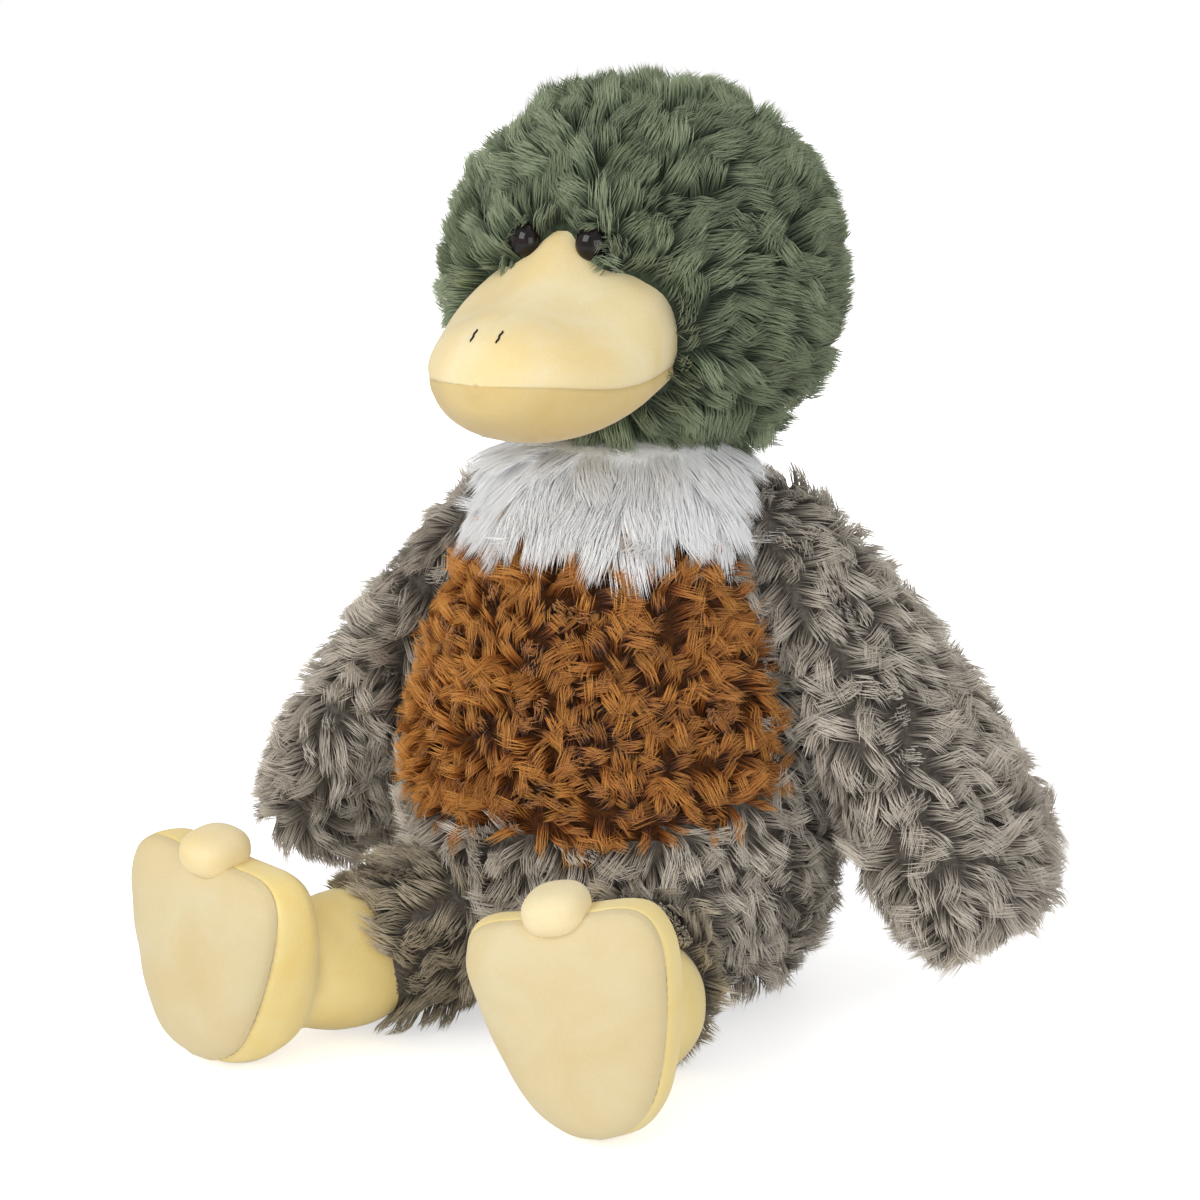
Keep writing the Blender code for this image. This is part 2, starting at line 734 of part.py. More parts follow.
def make_wing(shop, name, torso_room):
    """A wing's two covers, sewn at its edge, round its stuffing."""
    side = SIDES[name]
    form = wing_form(side)
    _, _, out = wing_axes(side)
    pile = finish("wing_pile_" + name, GREY)
    fibre = finish("wing_fibre_" + name, FILLING)
    seam = wing_root(side) - out * WING_SEAM_OFFSET
    outside = shop.slab("wing_outside_" + name, seam + out * (GAP / 2), out, WING_LENGTH * 2, WING_LENGTH)
    inside = shop.slab("wing_inside_" + name, seam - out * (GAP / 2), -out, WING_LENGTH * 2, WING_LENGTH)
    pieces = []
    for part, region in (("outer", outside), ("inner", inside)):
        cover = shop.panel("wing_%s_%s" % (part, name), form, pile, COVER)
        keep_inside(cover, region)
        cut_away(cover, torso_room)
        pieces.append(cover)
    stuffing = shop.filling("wing_stuffing_" + name, form, fibre, COVER)
    cut_away(stuffing, torso_room)
    shop.joint("wing_joint_" + name, wing_root(side), [*pieces, stuffing])


def make_leg(shop, name, floor):
    form = leg_form(name)
    pile = finish("leg_pile_" + name, GREY)
    fibre = finish("leg_fibre_" + name, FILLING)
    along = (ankle(name) - hip(name)).normalized()
    end_point = ankle(name) - along * LEG_END_SET_BACK
    end = shop.slab("leg_end_" + name, end_point, along, HIP_RADIUS * 2, OVERRUN)
    socket = shop.socket("ankle_socket_" + name, ankle(name), ANKLE_RADIUS + GAP)
    cover = shop.panel("leg_cover_" + name, form, pile, COVER)
    cut_away(cover, end, socket, floor)
    stuffing = shop.filling("leg_stuffing_" + name, form, fibre, COVER)
    cut_away(stuffing, end, socket)
    shop.joint("leg_joint_" + name, hip(name), [cover, stuffing])


def make_foot(shop, name, floor):
    """Cuff, upper and sole round the foot's stuffing, with the middle toe bent over the sole."""
    form = foot_form(name)
    forward, _, up = foot_axes(name)
    start = ankle(name)
    velour = finish("foot_velour_" + name, YELLOW)
    pale = finish("sole_velour_" + name, SOLE_YELLOW)
    fibre = finish("foot_fibre_" + name, FILLING)
    half = forward * (GAP / 2)
    cuff_end = start + forward * CUFF_END
    seam = start + forward * SOLE_SEAM
    reach = FOOT_HEIGHT * 2
    behind = shop.slab("cuff_region_" + name, cuff_end - half, -forward, reach, reach)
    beyond_cuff = shop.slab("upper_region_" + name, cuff_end + half, forward, reach, reach)
    facing, _ = sole_axes(name)
    front = shop.slab("sole_region_" + name, seam + facing * (GAP / 2), facing, reach, reach)
    behind_seam = shop.slab("seam_region_" + name, seam - facing * (GAP / 2), -facing, reach, reach)
    toe = toe_mesh(name, 0)
    toe_room = shop.hide(mesh_object("toe_room_" + name, toe_mesh(name, GAP), shop.cutters))
    pieces = []
    for part, regions, cloth in (
        ("ankle_cuff_", [behind], velour),
        ("foot_upper_", [beyond_cuff, behind_seam], velour),
        ("foot_sole_", [front], pale),
    ):
        cover = shop.panel(part + name, form, cloth, FOOT_COVER)
        keep_inside(cover, *regions)
        cut_away(cover, floor, toe_room)
        pieces.append(cover)
    middle_toe = mesh_object("middle_toe_" + name, toe, shop.parts)
    middle_toe.data.materials.append(velour)
    stuffing = shop.filling("foot_stuffing_" + name, form, fibre, FOOT_COVER)
    cut_away(stuffing, floor, toe_room)
    shop.joint("foot_joint_" + name, ankle(name), [*pieces, middle_toe, stuffing])


def make_tail(shop, torso_room):
    tail = shop.place("tail", tail_form(), finish("tail_pile", GREY))
    soften(tail)
    cut_away(tail, torso_room)


def main():
    clear_scene()
    shop = Workshop()
    floor = shop.slab("floor", FLOOR, -UP, TORSO_HEIGHT, OVERRUN)
    torso = torso_form()
    head = head_form()
    sockets = [shop.socket("hip_socket_" + name, hip(name), HIP_RADIUS + GAP) for name in SIDES]
    torso_room = shop.clearance("torso_room", torso, GAP)
    head_room = shop.clearance("head_room", head, GAP)
    dish = shop.socket("neck_dish", NECK, NECK_RADIUS + GAP)
    make_torso(shop, torso, sockets)
    make_neck(shop)
    recesses = {name: eye_recess(shop, name) for name in SIDES}
    pieces = make_head(shop, head, dish, recesses)
    pieces += make_eyes(shop)
    pieces += make_bill(shop, bill_form(), head_room, recesses)
    shop.joint("head_joint", NECK, pieces)
    make_tail(shop, torso_room)
    for name in SIDES:
        make_wing(shop, name, torso_room)
        make_leg(shop, name, floor)
        make_foot(shop, name, floor)


main()
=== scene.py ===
# %% [markdown]
# # A plush duck
#
# The duck is sewn from pile cloth over soft filling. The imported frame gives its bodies, its joints and the
# plain solids, and every piece that is made here rides on one of those bodies. All lengths are in metres,
# the duck faces -Y, and +X is its own left side.

import math

import bmesh
import bpy
from mathutils import Matrix, Vector, noise
from mathutils.bvhtree import BVHTree


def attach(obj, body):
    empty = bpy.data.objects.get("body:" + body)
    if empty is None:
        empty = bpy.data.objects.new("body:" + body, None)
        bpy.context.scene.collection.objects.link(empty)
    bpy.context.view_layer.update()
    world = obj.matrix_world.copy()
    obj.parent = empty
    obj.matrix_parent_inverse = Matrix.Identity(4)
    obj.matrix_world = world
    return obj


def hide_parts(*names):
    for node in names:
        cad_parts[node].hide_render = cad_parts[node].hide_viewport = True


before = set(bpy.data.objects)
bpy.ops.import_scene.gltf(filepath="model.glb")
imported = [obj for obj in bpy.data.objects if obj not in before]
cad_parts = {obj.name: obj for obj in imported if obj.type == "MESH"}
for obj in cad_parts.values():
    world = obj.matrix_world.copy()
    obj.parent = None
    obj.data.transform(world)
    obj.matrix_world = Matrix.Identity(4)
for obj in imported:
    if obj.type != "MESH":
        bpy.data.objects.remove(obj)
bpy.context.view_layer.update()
MM = 0.001
SIDES = {"left": 1, "right": -1}

# %% [markdown]
# ## Wiring helper
#
# Every material and every Geometry Nodes tree here is built node by node. A small class adds a node, sets its
# inputs and joins it in one line.

# %% Wiring helper
class Wiring:
    """Adds nodes to a tree and joins them, one short line each."""

    def __init__(self, tree):
        self.tree = tree

    def add(self, kind, inputs=None, **settings):
        node = self.tree.nodes.new(kind)
        for name, value in settings.items():
            setattr(node, name, value)
        for key, value in (inputs or {}).items():
            self.feed(node.inputs[key], value)
        return node

    def feed(self, socket, value):
        if isinstance(value, bpy.types.NodeSocket):
            self.tree.links.new(value, socket)
        else:
            socket.default_value = value

    def number(self, operation, *values):
        node = self.add("ShaderNodeMath", operation=operation)
        for socket, value in zip(node.inputs, values):
            self.feed(socket, value)
        return node.outputs[0]

    def vector(self, operation, *values):
        node = self.add("ShaderNodeVectorMath", operation=operation)
        for socket, value in zip(node.inputs, values):
            self.feed(socket, value)
        return node.outputs["Value" if operation in ("DOT_PRODUCT", "LENGTH") else "Vector"]

    def scaled(self, vector, factor):
        node = self.add("ShaderNodeVectorMath", {"Vector": vector, "Scale": factor}, operation="SCALE")
        return node.outputs["Vector"]

    def total(self, *vectors):
        result = vectors[0]
        for vector in vectors[1:]:
            result = self.vector("ADD", result, vector)
        return result

    def chance(self, low, high, seed, kind="FLOAT"):
        """A random value per element."""
        node = self.add("FunctionNodeRandomValue", data_type=kind)
        sockets = [socket for socket in node.inputs if socket.enabled]
        for socket, value in zip(sockets, (low, high)):
            socket.default_value = value
        self.feed(node.inputs["Seed"], seed)
        return next(socket for socket in node.outputs if socket.enabled)

    @staticmethod
    def value_socket(node):
        """The one of a node's Value inputs that is in use."""
        return next(socket for socket in node.inputs if socket.name == "Value" and socket.enabled)

    def keep(self, geometry, name, value, kind="FLOAT", domain="POINT"):
        """Stores a value under a name."""
        node = self.add(
            "GeometryNodeStoreNamedAttribute",
            {"Geometry": geometry, "Name": name},
            data_type=kind,
            domain=domain,
        )
        self.feed(self.value_socket(node), value)
        return node.outputs["Geometry"]

    def recall(self, name, kind="FLOAT"):
        """Reads a value that was stored under a name."""
        node = self.add("GeometryNodeInputNamedAttribute", {"Name": name}, data_type=kind)
        return next(socket for socket in node.outputs if socket.enabled)

    def sampled(self, geometry, value, index, kind="FLOAT"):
        """A value of another geometry's element."""
        node = self.add(
            "GeometryNodeSampleIndex",
            {"Geometry": geometry, "Index": index},
            data_type=kind,
            domain="POINT",
        )
        self.feed(self.value_socket(node), value)
        return next(socket for socket in node.outputs if socket.enabled)


print("wiring helper ready")

# %% [markdown]
# ## Camera
#
# The photograph was taken from a little above the duck and from its left front. The same view angle, the
# same distance and a long lens give the same outline.

# %% Camera
VIEW_AZIMUTH = math.radians(27)
VIEW_ELEVATION = math.radians(12.5)
VIEW_DISTANCE = 1.0
VIEW_LENS = 83.25
VIEW_SENSOR = 36
VIEW_HEIGHT = 0.1425
VIEW_SHIFT = -0.008


def make_camera():
    """Stands the camera where the photograph was taken from."""
    lens = bpy.data.cameras.new("photo_view")
    lens.lens = VIEW_LENS
    lens.sensor_width = VIEW_SENSOR
    camera = bpy.data.objects.new("photo_view", lens)
    bpy.context.scene.collection.objects.link(camera)
    target = Vector((VIEW_SHIFT * math.cos(VIEW_AZIMUTH), VIEW_SHIFT * math.sin(VIEW_AZIMUTH), VIEW_HEIGHT))
    level = math.cos(VIEW_ELEVATION)
    back = Vector((math.sin(VIEW_AZIMUTH) * level, -math.cos(VIEW_AZIMUTH) * level, math.sin(VIEW_ELEVATION)))
    camera.location = target + back * VIEW_DISTANCE
    camera.rotation_euler = (-back).to_track_quat("-Z", "Y").to_euler()
    bpy.context.scene.camera = camera
    return camera


print("camera at", [round(value, 3) for value in make_camera().location])

# %% [markdown]
# ## Floor and light
#
# Pale floor, white all round, two broad lamps in front and one behind. Soft light keeps the pile's own
# colour, and the shadows between its tufts stay open. The white background is only what the camera sees: the
# light on the duck comes from a dimmer sky.

# %% Floor, sky and lamps
SKY_STRENGTH = 0.58
KEY_WATTS = 8.5
FILL_WATTS = 6.5
BACK_WATTS = 4.5
LAMP_AIM = (0, 0, 0.16)
FLOOR_SIZE = 6
# the floor looks white from a distance on, and shows the shadow close to the duck
FLOOR_GLOW = 0.6
GLOW_FROM = 0.35
GLOW_TO = 1.2
WHITE = (1, 1, 1, 1)


def make_floor():
    """A wide pale floor that keeps the duck's soft shadow."""
    shape = bmesh.new()
    bmesh.ops.create_grid(shape, x_segments=1, y_segments=1, size=FLOOR_SIZE)
    mesh = bpy.data.meshes.new("floor")
    shape.to_mesh(mesh)
    shape.free()
    floor = bpy.data.objects.new("floor", mesh)
    bpy.context.scene.collection.objects.link(floor)
    paint = bpy.data.materials.new("pale_floor")
    paint.use_nodes = True
    shader = paint.node_tree.nodes["Principled BSDF"]
    shader.inputs["Base Color"].default_value = (0.94, 0.94, 0.94, 1)
    shader.inputs["Roughness"].default_value = 0.9
    shader.inputs["Emission Color"].default_value = WHITE
    w = Wiring(paint.node_tree)
    seen = w.add("ShaderNodeLightPath").outputs["Is Camera Ray"]
    reach = w.vector("LENGTH", w.add("ShaderNodeTexCoord").outputs["Object"])
    fade = w.add(
        "ShaderNodeMapRange",
        {"Value": reach, "From Min": GLOW_FROM, "From Max": GLOW_TO, "To Min": FLOOR_GLOW, "To Max": 1.0},
    )
    w.feed(shader.inputs["Emission Strength"], w.number("MULTIPLY", seen, fade.outputs["Result"]))
    floor.data.materials.append(paint)


def make_sky():
    """White to the camera, dimmer as a light."""
    world = bpy.data.worlds.new("studio")
    bpy.context.scene.world = world
    world.use_nodes = True
    world.node_tree.nodes.clear()
    w = Wiring(world.node_tree)
    seen = w.add("ShaderNodeLightPath").outputs["Is Camera Ray"]
    white = w.add("ShaderNodeBackground", {"Color": WHITE, "Strength": 1.0}).outputs["Background"]
    light = w.add("ShaderNodeBackground", {"Color": WHITE, "Strength": SKY_STRENGTH}).outputs["Background"]
    choose = w.add("ShaderNodeMixShader", {"Fac": seen, 1: light, 2: white})
    w.add("ShaderNodeOutputWorld", {"Surface": choose.outputs["Shader"]})


def make_lamp(name, watts, size, place):
    """A broad soft lamp that looks at the duck's middle."""
    lamp = bpy.data.lights.new(name, "AREA")
    lamp.energy = watts
    lamp.size = size
    holder = bpy.data.objects.new(name, lamp)
    holder.location = place
    holder.rotation_euler = (Vector(LAMP_AIM) - Vector(place)).to_track_quat("-Z", "Y").to_euler()
    bpy.context.scene.collection.objects.link(holder)


make_floor()
make_sky()
make_lamp("key", KEY_WATTS, 0.8, (-0.55, -1.2, 1.0))
make_lamp("fill", FILL_WATTS, 1.0, (1.0, -1.1, 0.40))
make_lamp("back", BACK_WATTS, 1.0, (-0.3, 1.5, 0.90))
bpy.context.scene.view_settings.view_transform = "Standard"
print("sky", SKY_STRENGTH, "key", KEY_WATTS, "W, fill", FILL_WATTS, "W, back", BACK_WATTS, "W")

# %% [markdown]
# ## Forms under the pile
#
# Under its pile the real toy is cloth, sewn into rounded bags and filled. Each bag is made here as a loft:
# rings of cage points, joined into a closed cage, and smoothed by Subdivision Surface. A few rings are
# enough to swell and taper a form, and the result has even faces, which the pile then grows from.

# %% Lofts
UP = Vector((0, 0, 1))
ACROSS = Vector((1, 0, 0))
BACK = Vector((0, 1, 0))
SMOOTH_STEPS = 3
rest_scene = bpy.context.scene.collection


def clamp(value):
    """The value, kept between 0 and 1."""
    return min(max(value, 0.0), 1.0)


def smooth_step(share):
    """A share from 0 to 1 that starts and stops softly."""
    return share * share * (3 - 2 * share)


def heading(angle):
    """A level direction, turned from straight ahead towards the duck's left."""
    return Vector((math.sin(angle), -math.cos(angle), 0))


def draw_in(points):
    """How much subdivision draws a ring of points in towards its centre."""
    return (2 + math.cos(math.tau / points)) / 3


def ring(centre, across, up, half_width, half_height, points):
    """A ring of cage points whose smoothed outline has the stated half sizes."""
    grow = 1 / draw_in(points)
    turns = [math.tau * step / points for step in range(points)]
    return [
        centre + across * (half_width * grow * math.cos(turn)) + up * (half_height * grow * math.sin(turn))
        for turn in turns
    ]


def plain_object(name, shape):
    """Turns a bmesh into an object in the scene."""
    mesh = bpy.data.meshes.new(name)
    shape.to_mesh(mesh)
    shape.free()
    made = bpy.data.objects.new(name, mesh)
    rest_scene.objects.link(made)
    return made


def settle(thing):
    """Applies a piece's modifiers and its place, so that it is one plain mesh at the origin."""
    graph = bpy.context.evaluated_depsgraph_get()
    mesh = bpy.data.meshes.new_from_object(thing.evaluated_get(graph), depsgraph=graph)
    mesh.transform(thing.matrix_world)
    thing.modifiers.clear()
    thing.data = mesh
    thing.matrix_world = Matrix.Identity(4)
    return thing


def sleeve(rings):
    """An open bmesh tube through rings of points, and its loops of vertices."""
    shape = bmesh.new()
    loops = [[shape.verts.new(point) for point in points] for points in rings]
    count = len(rings[0])
    for lower, upper in zip(loops, loops[1:]):
        for step in range(count):
            after = (step + 1) % count
            shape.faces.new((lower[step], lower[after], upper[after], upper[step]))
    return shape, loops


def loft(name, rings, steps=SMOOTH_STEPS):
    """A closed smooth bag through rings of points."""
    shape, loops = sleeve(rings)
    shape.faces.new(reversed(loops[0]))
    shape.faces.new(loops[-1])
    bmesh.ops.recalc_face_normals(shape, faces=shape.faces)
    made = plain_object(name, shape)
    smooth = made.modifiers.new("smooth", "SUBSURF")
    smooth.levels = steps
    smooth.render_levels = steps
    settle(made)
    made.data.shade_smooth()
    return made


def shrink(thing, depth):
    """Moves a bag's surface inwards by the pile's depth."""
    normals = [vertex.normal.copy() for vertex in thing.data.vertices]
    for vertex, normal in zip(thing.data.vertices, normals):
        vertex.co -= normal * depth
    thing.data.update()


def flatten_below(thing, height):
    """Presses a bag flat where it rests on the floor."""
    for vertex in thing.data.vertices:
        vertex.co.z = max(vertex.co.z, height)
    thing.data.update()


def faces_of(thing):
    """How many triangles a piece has."""
    thing.data.calc_loop_triangles()
    return len(thing.data.loop_triangles)


def along_table(table, place):
    """Values of a table of rows at a place in its first column, on a smooth curve through the rows."""
    place = min(max(place, table[0][0]), table[-1][0])
    step = next(step for step in range(1, len(table)) if place <= table[step][0])
    rows = [table[max(step - 2, 0)], table[step - 1], table[step], table[min(step + 1, len(table) - 1)]]
    span = rows[2][0] - rows[1][0]
    part = (place - rows[1][0]) / span
    values = []
    for a, b, c, d in zip(*[row[1:] for row in rows]):
        leave = (c - a) / (rows[2][0] - rows[0][0]) * span
        arrive = (d - b) / (rows[3][0] - rows[1][0]) * span
        bend = part * (1 - part) * (leave * (1 - part) - arrive * part)
        values.append(b + (c - b) * part * part * (3 - 2 * part) + bend)
    return values


def skin(name, rings):
    """A closed surface straight through dense rings of points, with a fan at each end."""
    shape, loops = sleeve(rings)
    count = len(rings[0])
    for loop in (loops[0], loops[-1]):
        middle = shape.verts.new(sum((vertex.co for vertex in loop), Vector()) / count)
        for step in range(count):
            shape.faces.new((loop[step], loop[(step + 1) % count], middle))
    bmesh.ops.recalc_face_normals(shape, faces=shape.faces)
    made = plain_object(name, shape)
    made.data.shade_smooth()
    return made


print("smoothing draws a ring of 12 points in to", round(draw_in(12), 3))

# %% [markdown]
# ## Pile
#
# The cloth's pile is about 14 mm long and has been tumbled, so its hairs gather in tufts that swirl in
# patches. Hair particles can't be exported, and a bump map has no ragged outline. So a Geometry Nodes tree
# grows real strands: it scatters tuft centres over a cover, gives each a direction from a slow noise field,
# scatters strands, and leans every strand with its nearest tuft. Strands are pointed tubes of three flat
# sides and two or three lengths, the fewest faces that still bend.

# %% The pile's inputs
# name, kind, and a first value; lengths are in metres
PILE_INPUTS = (
    ("Cover", "NodeSocketGeometry", None),
    ("Tuft Spacing", "NodeSocketFloat", 0.005),
    ("Strands", "NodeSocketFloat", 300000.0),
    ("Length", "NodeSocketFloat", 0.014),
    ("Width", "NodeSocketFloat", 0.0006),
    ("Lift", "NodeSocketFloat", 0.6),
    ("Gather", "NodeSocketFloat", 0.4),
    ("Curl", "NodeSocketFloat", 0.3),
    ("Comb", "NodeSocketFloat", 0.5),
    ("Comb From", "NodeSocketVector", None),
    ("Swirl", "NodeSocketFloat", 1.0),
    ("Swirl Size", "NodeSocketFloat", 0.03),
    ("Bends", "NodeSocketInt", 2),
    ("Seed", "NodeSocketInt", 1),
    ("Yarn", "NodeSocketMaterial", None),
)


def pile_interface(tree):
    """Gives the tree its named inputs and its one output."""
    for name, kind, first in PILE_INPUTS:
        socket = tree.interface.new_socket(name, in_out="INPUT", socket_type=kind)
        if first is not None:
            socket.default_value = first
    tree.interface.new_socket("Pile", in_out="OUTPUT", socket_type="NodeSocketGeometry")


print(len(PILE_INPUTS), "inputs")

# %% [markdown]
# Tuft centres come from a Poisson scatter, which keeps them apart by the tuft spacing. Each keeps its
# surface normal and its flow: the comb direction, the swirl from a noise field and a little chance, laid into
# the surface by taking away the part along the normal.

# %% Tufts
SWIRL_GAIN = 4.0
TUFT_STRAY = 0.3
VECTOR = "FLOAT_VECTOR"


def tuft_points(w, given):
    """Tuft centres that know their normal and their flow."""
    spacing = given["Tuft Spacing"]
    crowd = w.number("DIVIDE", 2.0, w.number("MULTIPLY", spacing, spacing))
    scatter = w.add(
        "GeometryNodeDistributePointsOnFaces",
        {"Mesh": given["Cover"], "Distance Min": spacing, "Density Max": crowd, "Seed": given["Seed"]},
        distribute_method="POISSON",
    )
    place = w.add("GeometryNodeInputPosition").outputs[0]
    points = w.keep(scatter.outputs["Points"], "up", scatter.outputs["Normal"], VECTOR)
    up = w.recall("up", VECTOR)
    comb = w.scaled(w.vector("NORMALIZE", w.vector("SUBTRACT", place, given["Comb From"])), given["Comb"])
    zoomed = w.scaled(place, w.number("DIVIDE", 1.0, given["Swirl Size"]))
    noise = w.add("ShaderNodeTexNoise", {"Vector": zoomed, "Scale": 1.0, "Detail": 1.0})
    centred = w.vector("SUBTRACT", noise.outputs["Color"], (0.5, 0.5, 0.5))
    swirl = w.scaled(centred, w.number("MULTIPLY", given["Swirl"], SWIRL_GAIN))
    stray = w.chance((-TUFT_STRAY,) * 3, (TUFT_STRAY,) * 3, given["Seed"], VECTOR)
    wish = w.total(comb, swirl, stray)
    flat = w.vector("SUBTRACT", wish, w.scaled(up, w.vector("DOT_PRODUCT", wish, up)))
    points = w.keep(points, "flow", w.vector("NORMALIZE", flat), VECTOR)
    points = w.keep(points, "size", w.chance(0.0, 1.0, w.number("ADD", given["Seed"], 3)))
    points = w.keep(points, "bend", w.chance(-1.0, 1.0, w.number("ADD", given["Seed"], 4)))
    return w.keep(points, "rise", w.chance(0.0, 1.0, w.number("ADD", given["Seed"], 5)))


print("tufts ready")

# %% [markdown]
# Each strand looks up its nearest tuft and takes over its direction, its length and its bend. A strand's
# points run from its root along the flow; they rise fast and then level off, and towards the tip they move
# over to the tuft's middle line, which is what makes a tuft.

# %% Strands
TUFT_TINT = 0.65
STRAND_TINT = 0.35
SHORTEST_SHARE = 0.88
LONGEST_SHARE = 1.03
STRAND_STRAY = 0.09
ROOT_DEPTH = 0.6 * MM


def strand_points(w, given, tufts):
    """Root points that know their tuft."""
    scatter = w.add(
        "GeometryNodeDistributePointsOnFaces",
        {"Mesh": given["Cover"], "Density": w.number("MULTIPLY", given["Strands"], w.recall("pile"))},
        distribute_method="RANDOM",
    )
    w.feed(scatter.inputs["Seed"], w.number("ADD", given["Seed"], 7))
    place = w.add("GeometryNodeInputPosition").outputs[0]
    search = {"Geometry": tufts, "Sample Position": place}
    nearest = w.add("GeometryNodeSampleNearest", search).outputs["Index"]
    points = scatter.outputs["Points"]
    kinds = {"up": VECTOR, "flow": VECTOR, "size": "FLOAT", "bend": "FLOAT", "rise": "FLOAT"}
    for name, kind in kinds.items():
        points = w.keep(points, name, w.sampled(tufts, w.recall(name, kind), nearest, kind), kind)
    centre = w.sampled(tufts, place, nearest, VECTOR)
    points = w.keep(points, "to_centre", w.vector("SUBTRACT", centre, place), VECTOR)
    points = w.keep(points, "strand", w.add("GeometryNodeInputIndex").outputs[0], "INT")
    seed = given["Seed"]
    stray = w.chance((-1, -1, -1), (1, 1, 1), w.number("ADD", seed, 11), VECTOR)
    points = w.keep(points, "stray", stray, VECTOR)
    share = w.chance(SHORTEST_SHARE, LONGEST_SHARE, w.number("ADD", seed, 12))
    points = w.keep(points, "share", share)
    own = w.chance(0.0, STRAND_TINT, w.number("ADD", seed, 13))
    return w.keep(points, "tint", w.number("ADD", w.number("MULTIPLY", w.recall("size"), TUFT_TINT), own))


def strand_shape(w, given):
    """Where a strand's point lies, as an offset from its root."""
    along = w.recall("along")
    up = w.recall("up", VECTOR)
    flow = w.recall("flow", VECTOR)
    side = w.vector("CROSS_PRODUCT", up, flow)
    size = w.number("MULTIPLY", w.recall("share"), w.number("MULTIPLY_ADD", w.recall("size"), 0.4, 0.78))
    reach = w.number("MULTIPLY", given["Length"], size)
    angle = w.number("MULTIPLY", given["Lift"], w.number("MULTIPLY_ADD", w.recall("rise"), 0.8, 0.6))
    squared = w.number("MULTIPLY", along, along)
    level = w.number("SUBTRACT", along, w.number("MULTIPLY", squared, 0.35))
    forward = w.scaled(flow, w.number("MULTIPLY", along, w.number("COSINE", angle)))
    upward = w.scaled(up, w.number("MULTIPLY", w.number("MULTIPLY", level, 1.25), w.number("SINE", angle)))
    curl = w.number("MULTIPLY", w.recall("bend"), given["Curl"])
    sideways = w.scaled(side, w.number("MULTIPLY", curl, squared))
    stray = w.scaled(w.recall("stray", VECTOR), w.number("MULTIPLY", along, STRAND_STRAY))
    reached = w.scaled(w.total(forward, upward, sideways, stray), reach)
    gathered = w.scaled(w.recall("to_centre", VECTOR), w.number("MULTIPLY", along, given["Gather"]))
    sunk = w.scaled(up, -ROOT_DEPTH)
    return w.total(reached, gathered, sunk)


print("strands ready")

# %% [markdown]
# The strands' colour is kept in a UV map: across it runs each strand's own tint, and up it runs the way from
# root to tip. The yarn's material reads only that map, so a picture of the map holds every colour that the
# pile has. A strand's sides differ a little across, so that no face of the map has a width of nothing.

# %% The whole tree
FLOOR_GAP = 0.4 * MM
# how fast the points of a strand move on from its root, and how late it tapers
POINT_POWER = 0.7
TAPER_POWER = 8.0


def named_inputs(tree):
    """The identifiers of a tree's inputs by their names."""
    return {item.name: item.identifier for item in tree.interface.items_tree if item.in_out == "INPUT"}


def build_pile_tree():
    """Cover in, pile out."""
    tree = bpy.data.node_groups.new("pile", "GeometryNodeTree")
    pile_interface(tree)
    w = Wiring(tree)
    given = w.add("NodeGroupInput").outputs
    tufts = tuft_points(w, given)
    roots = strand_points(w, given, tufts)
    count = w.number("ADD", given["Bends"], 1)
    copies = w.add("GeometryNodeDuplicateElements", {"Geometry": roots, "Amount": count}, domain="POINT")
    step = w.number("DIVIDE", copies.outputs["Duplicate Index"], given["Bends"])
    points = w.keep(copies.outputs["Geometry"], "along", w.number("POWER", step, POINT_POWER))
    grown = w.vector("ADD", w.add("GeometryNodeInputPosition").outputs[0], strand_shape(w, given))
    parts = w.add("ShaderNodeSeparateXYZ", {"Vector": grown}).outputs
    lifted = w.number("MAXIMUM", parts["Z"], FLOOR_GAP)
    above = w.add("ShaderNodeCombineXYZ", {"X": parts["X"], "Y": parts["Y"], "Z": lifted}).outputs[0]
    moved = w.add("GeometryNodeSetPosition", {"Geometry": points, "Position": above}).outputs["Geometry"]
    curves = w.add(
        "GeometryNodePointsToCurves",
        {"Points": moved, "Curve Group ID": w.recall("strand", "INT"), "Weight": w.recall("along")},
    ).outputs[0]
    along = w.recall("along")
    taper = w.number("SUBTRACT", 1.0, w.number("POWER", along, TAPER_POWER))
    radius = w.number("MULTIPLY", w.number("MULTIPLY", given["Width"], 0.5), taper)
    sized = w.add("GeometryNodeSetCurveRadius", {"Curve": curves, "Radius": radius}).outputs[0]
    three_sided = {"Resolution": 3, "Radius": 1.0}
    rim = w.add("GeometryNodeCurvePrimitiveCircle", three_sided, mode="RADIUS").outputs["Curve"]
    rim = w.keep(rim, "edge", w.number("DIVIDE", w.add("GeometryNodeInputIndex").outputs[0], 2.0))
    tubes = w.add("GeometryNodeCurveToMesh", {"Curve": sized, "Profile Curve": rim, "Fill Caps": True})
    # where Curve to Mesh has a Scale, it takes the radius from there and not from the curve
    if "Scale" in tubes.inputs:
        w.feed(tubes.inputs["Scale"], radius)
    beside = w.number("MULTIPLY_ADD", w.recall("edge"), 0.008, 0.01)
    tint = w.number("ADD", w.number("MULTIPLY", w.recall("tint"), 0.97), beside)
    way_up = w.number("MULTIPLY_ADD", along, 0.96, 0.02)
    spot = w.add("ShaderNodeCombineXYZ", {"X": tint, "Y": way_up}).outputs[0]
    mapped = w.keep(tubes.outputs["Mesh"], "OFBake", spot, "FLOAT2", "CORNER")
    pointed = w.add("GeometryNodeMergeByDistance", {"Geometry": mapped, "Distance": 1e-6}).outputs[0]
    flat = w.add("GeometryNodeSetShadeSmooth", {"Geometry": pointed, "Shade Smooth": False}).outputs[0]
    real = w.add("GeometryNodeRealizeInstances", {"Geometry": flat}).outputs[0]
    dyed = w.add("GeometryNodeSetMaterial", {"Geometry": real, "Material": given["Yarn"]}).outputs[0]
    w.add("NodeGroupOutput", {"Pile": dyed})
    return tree


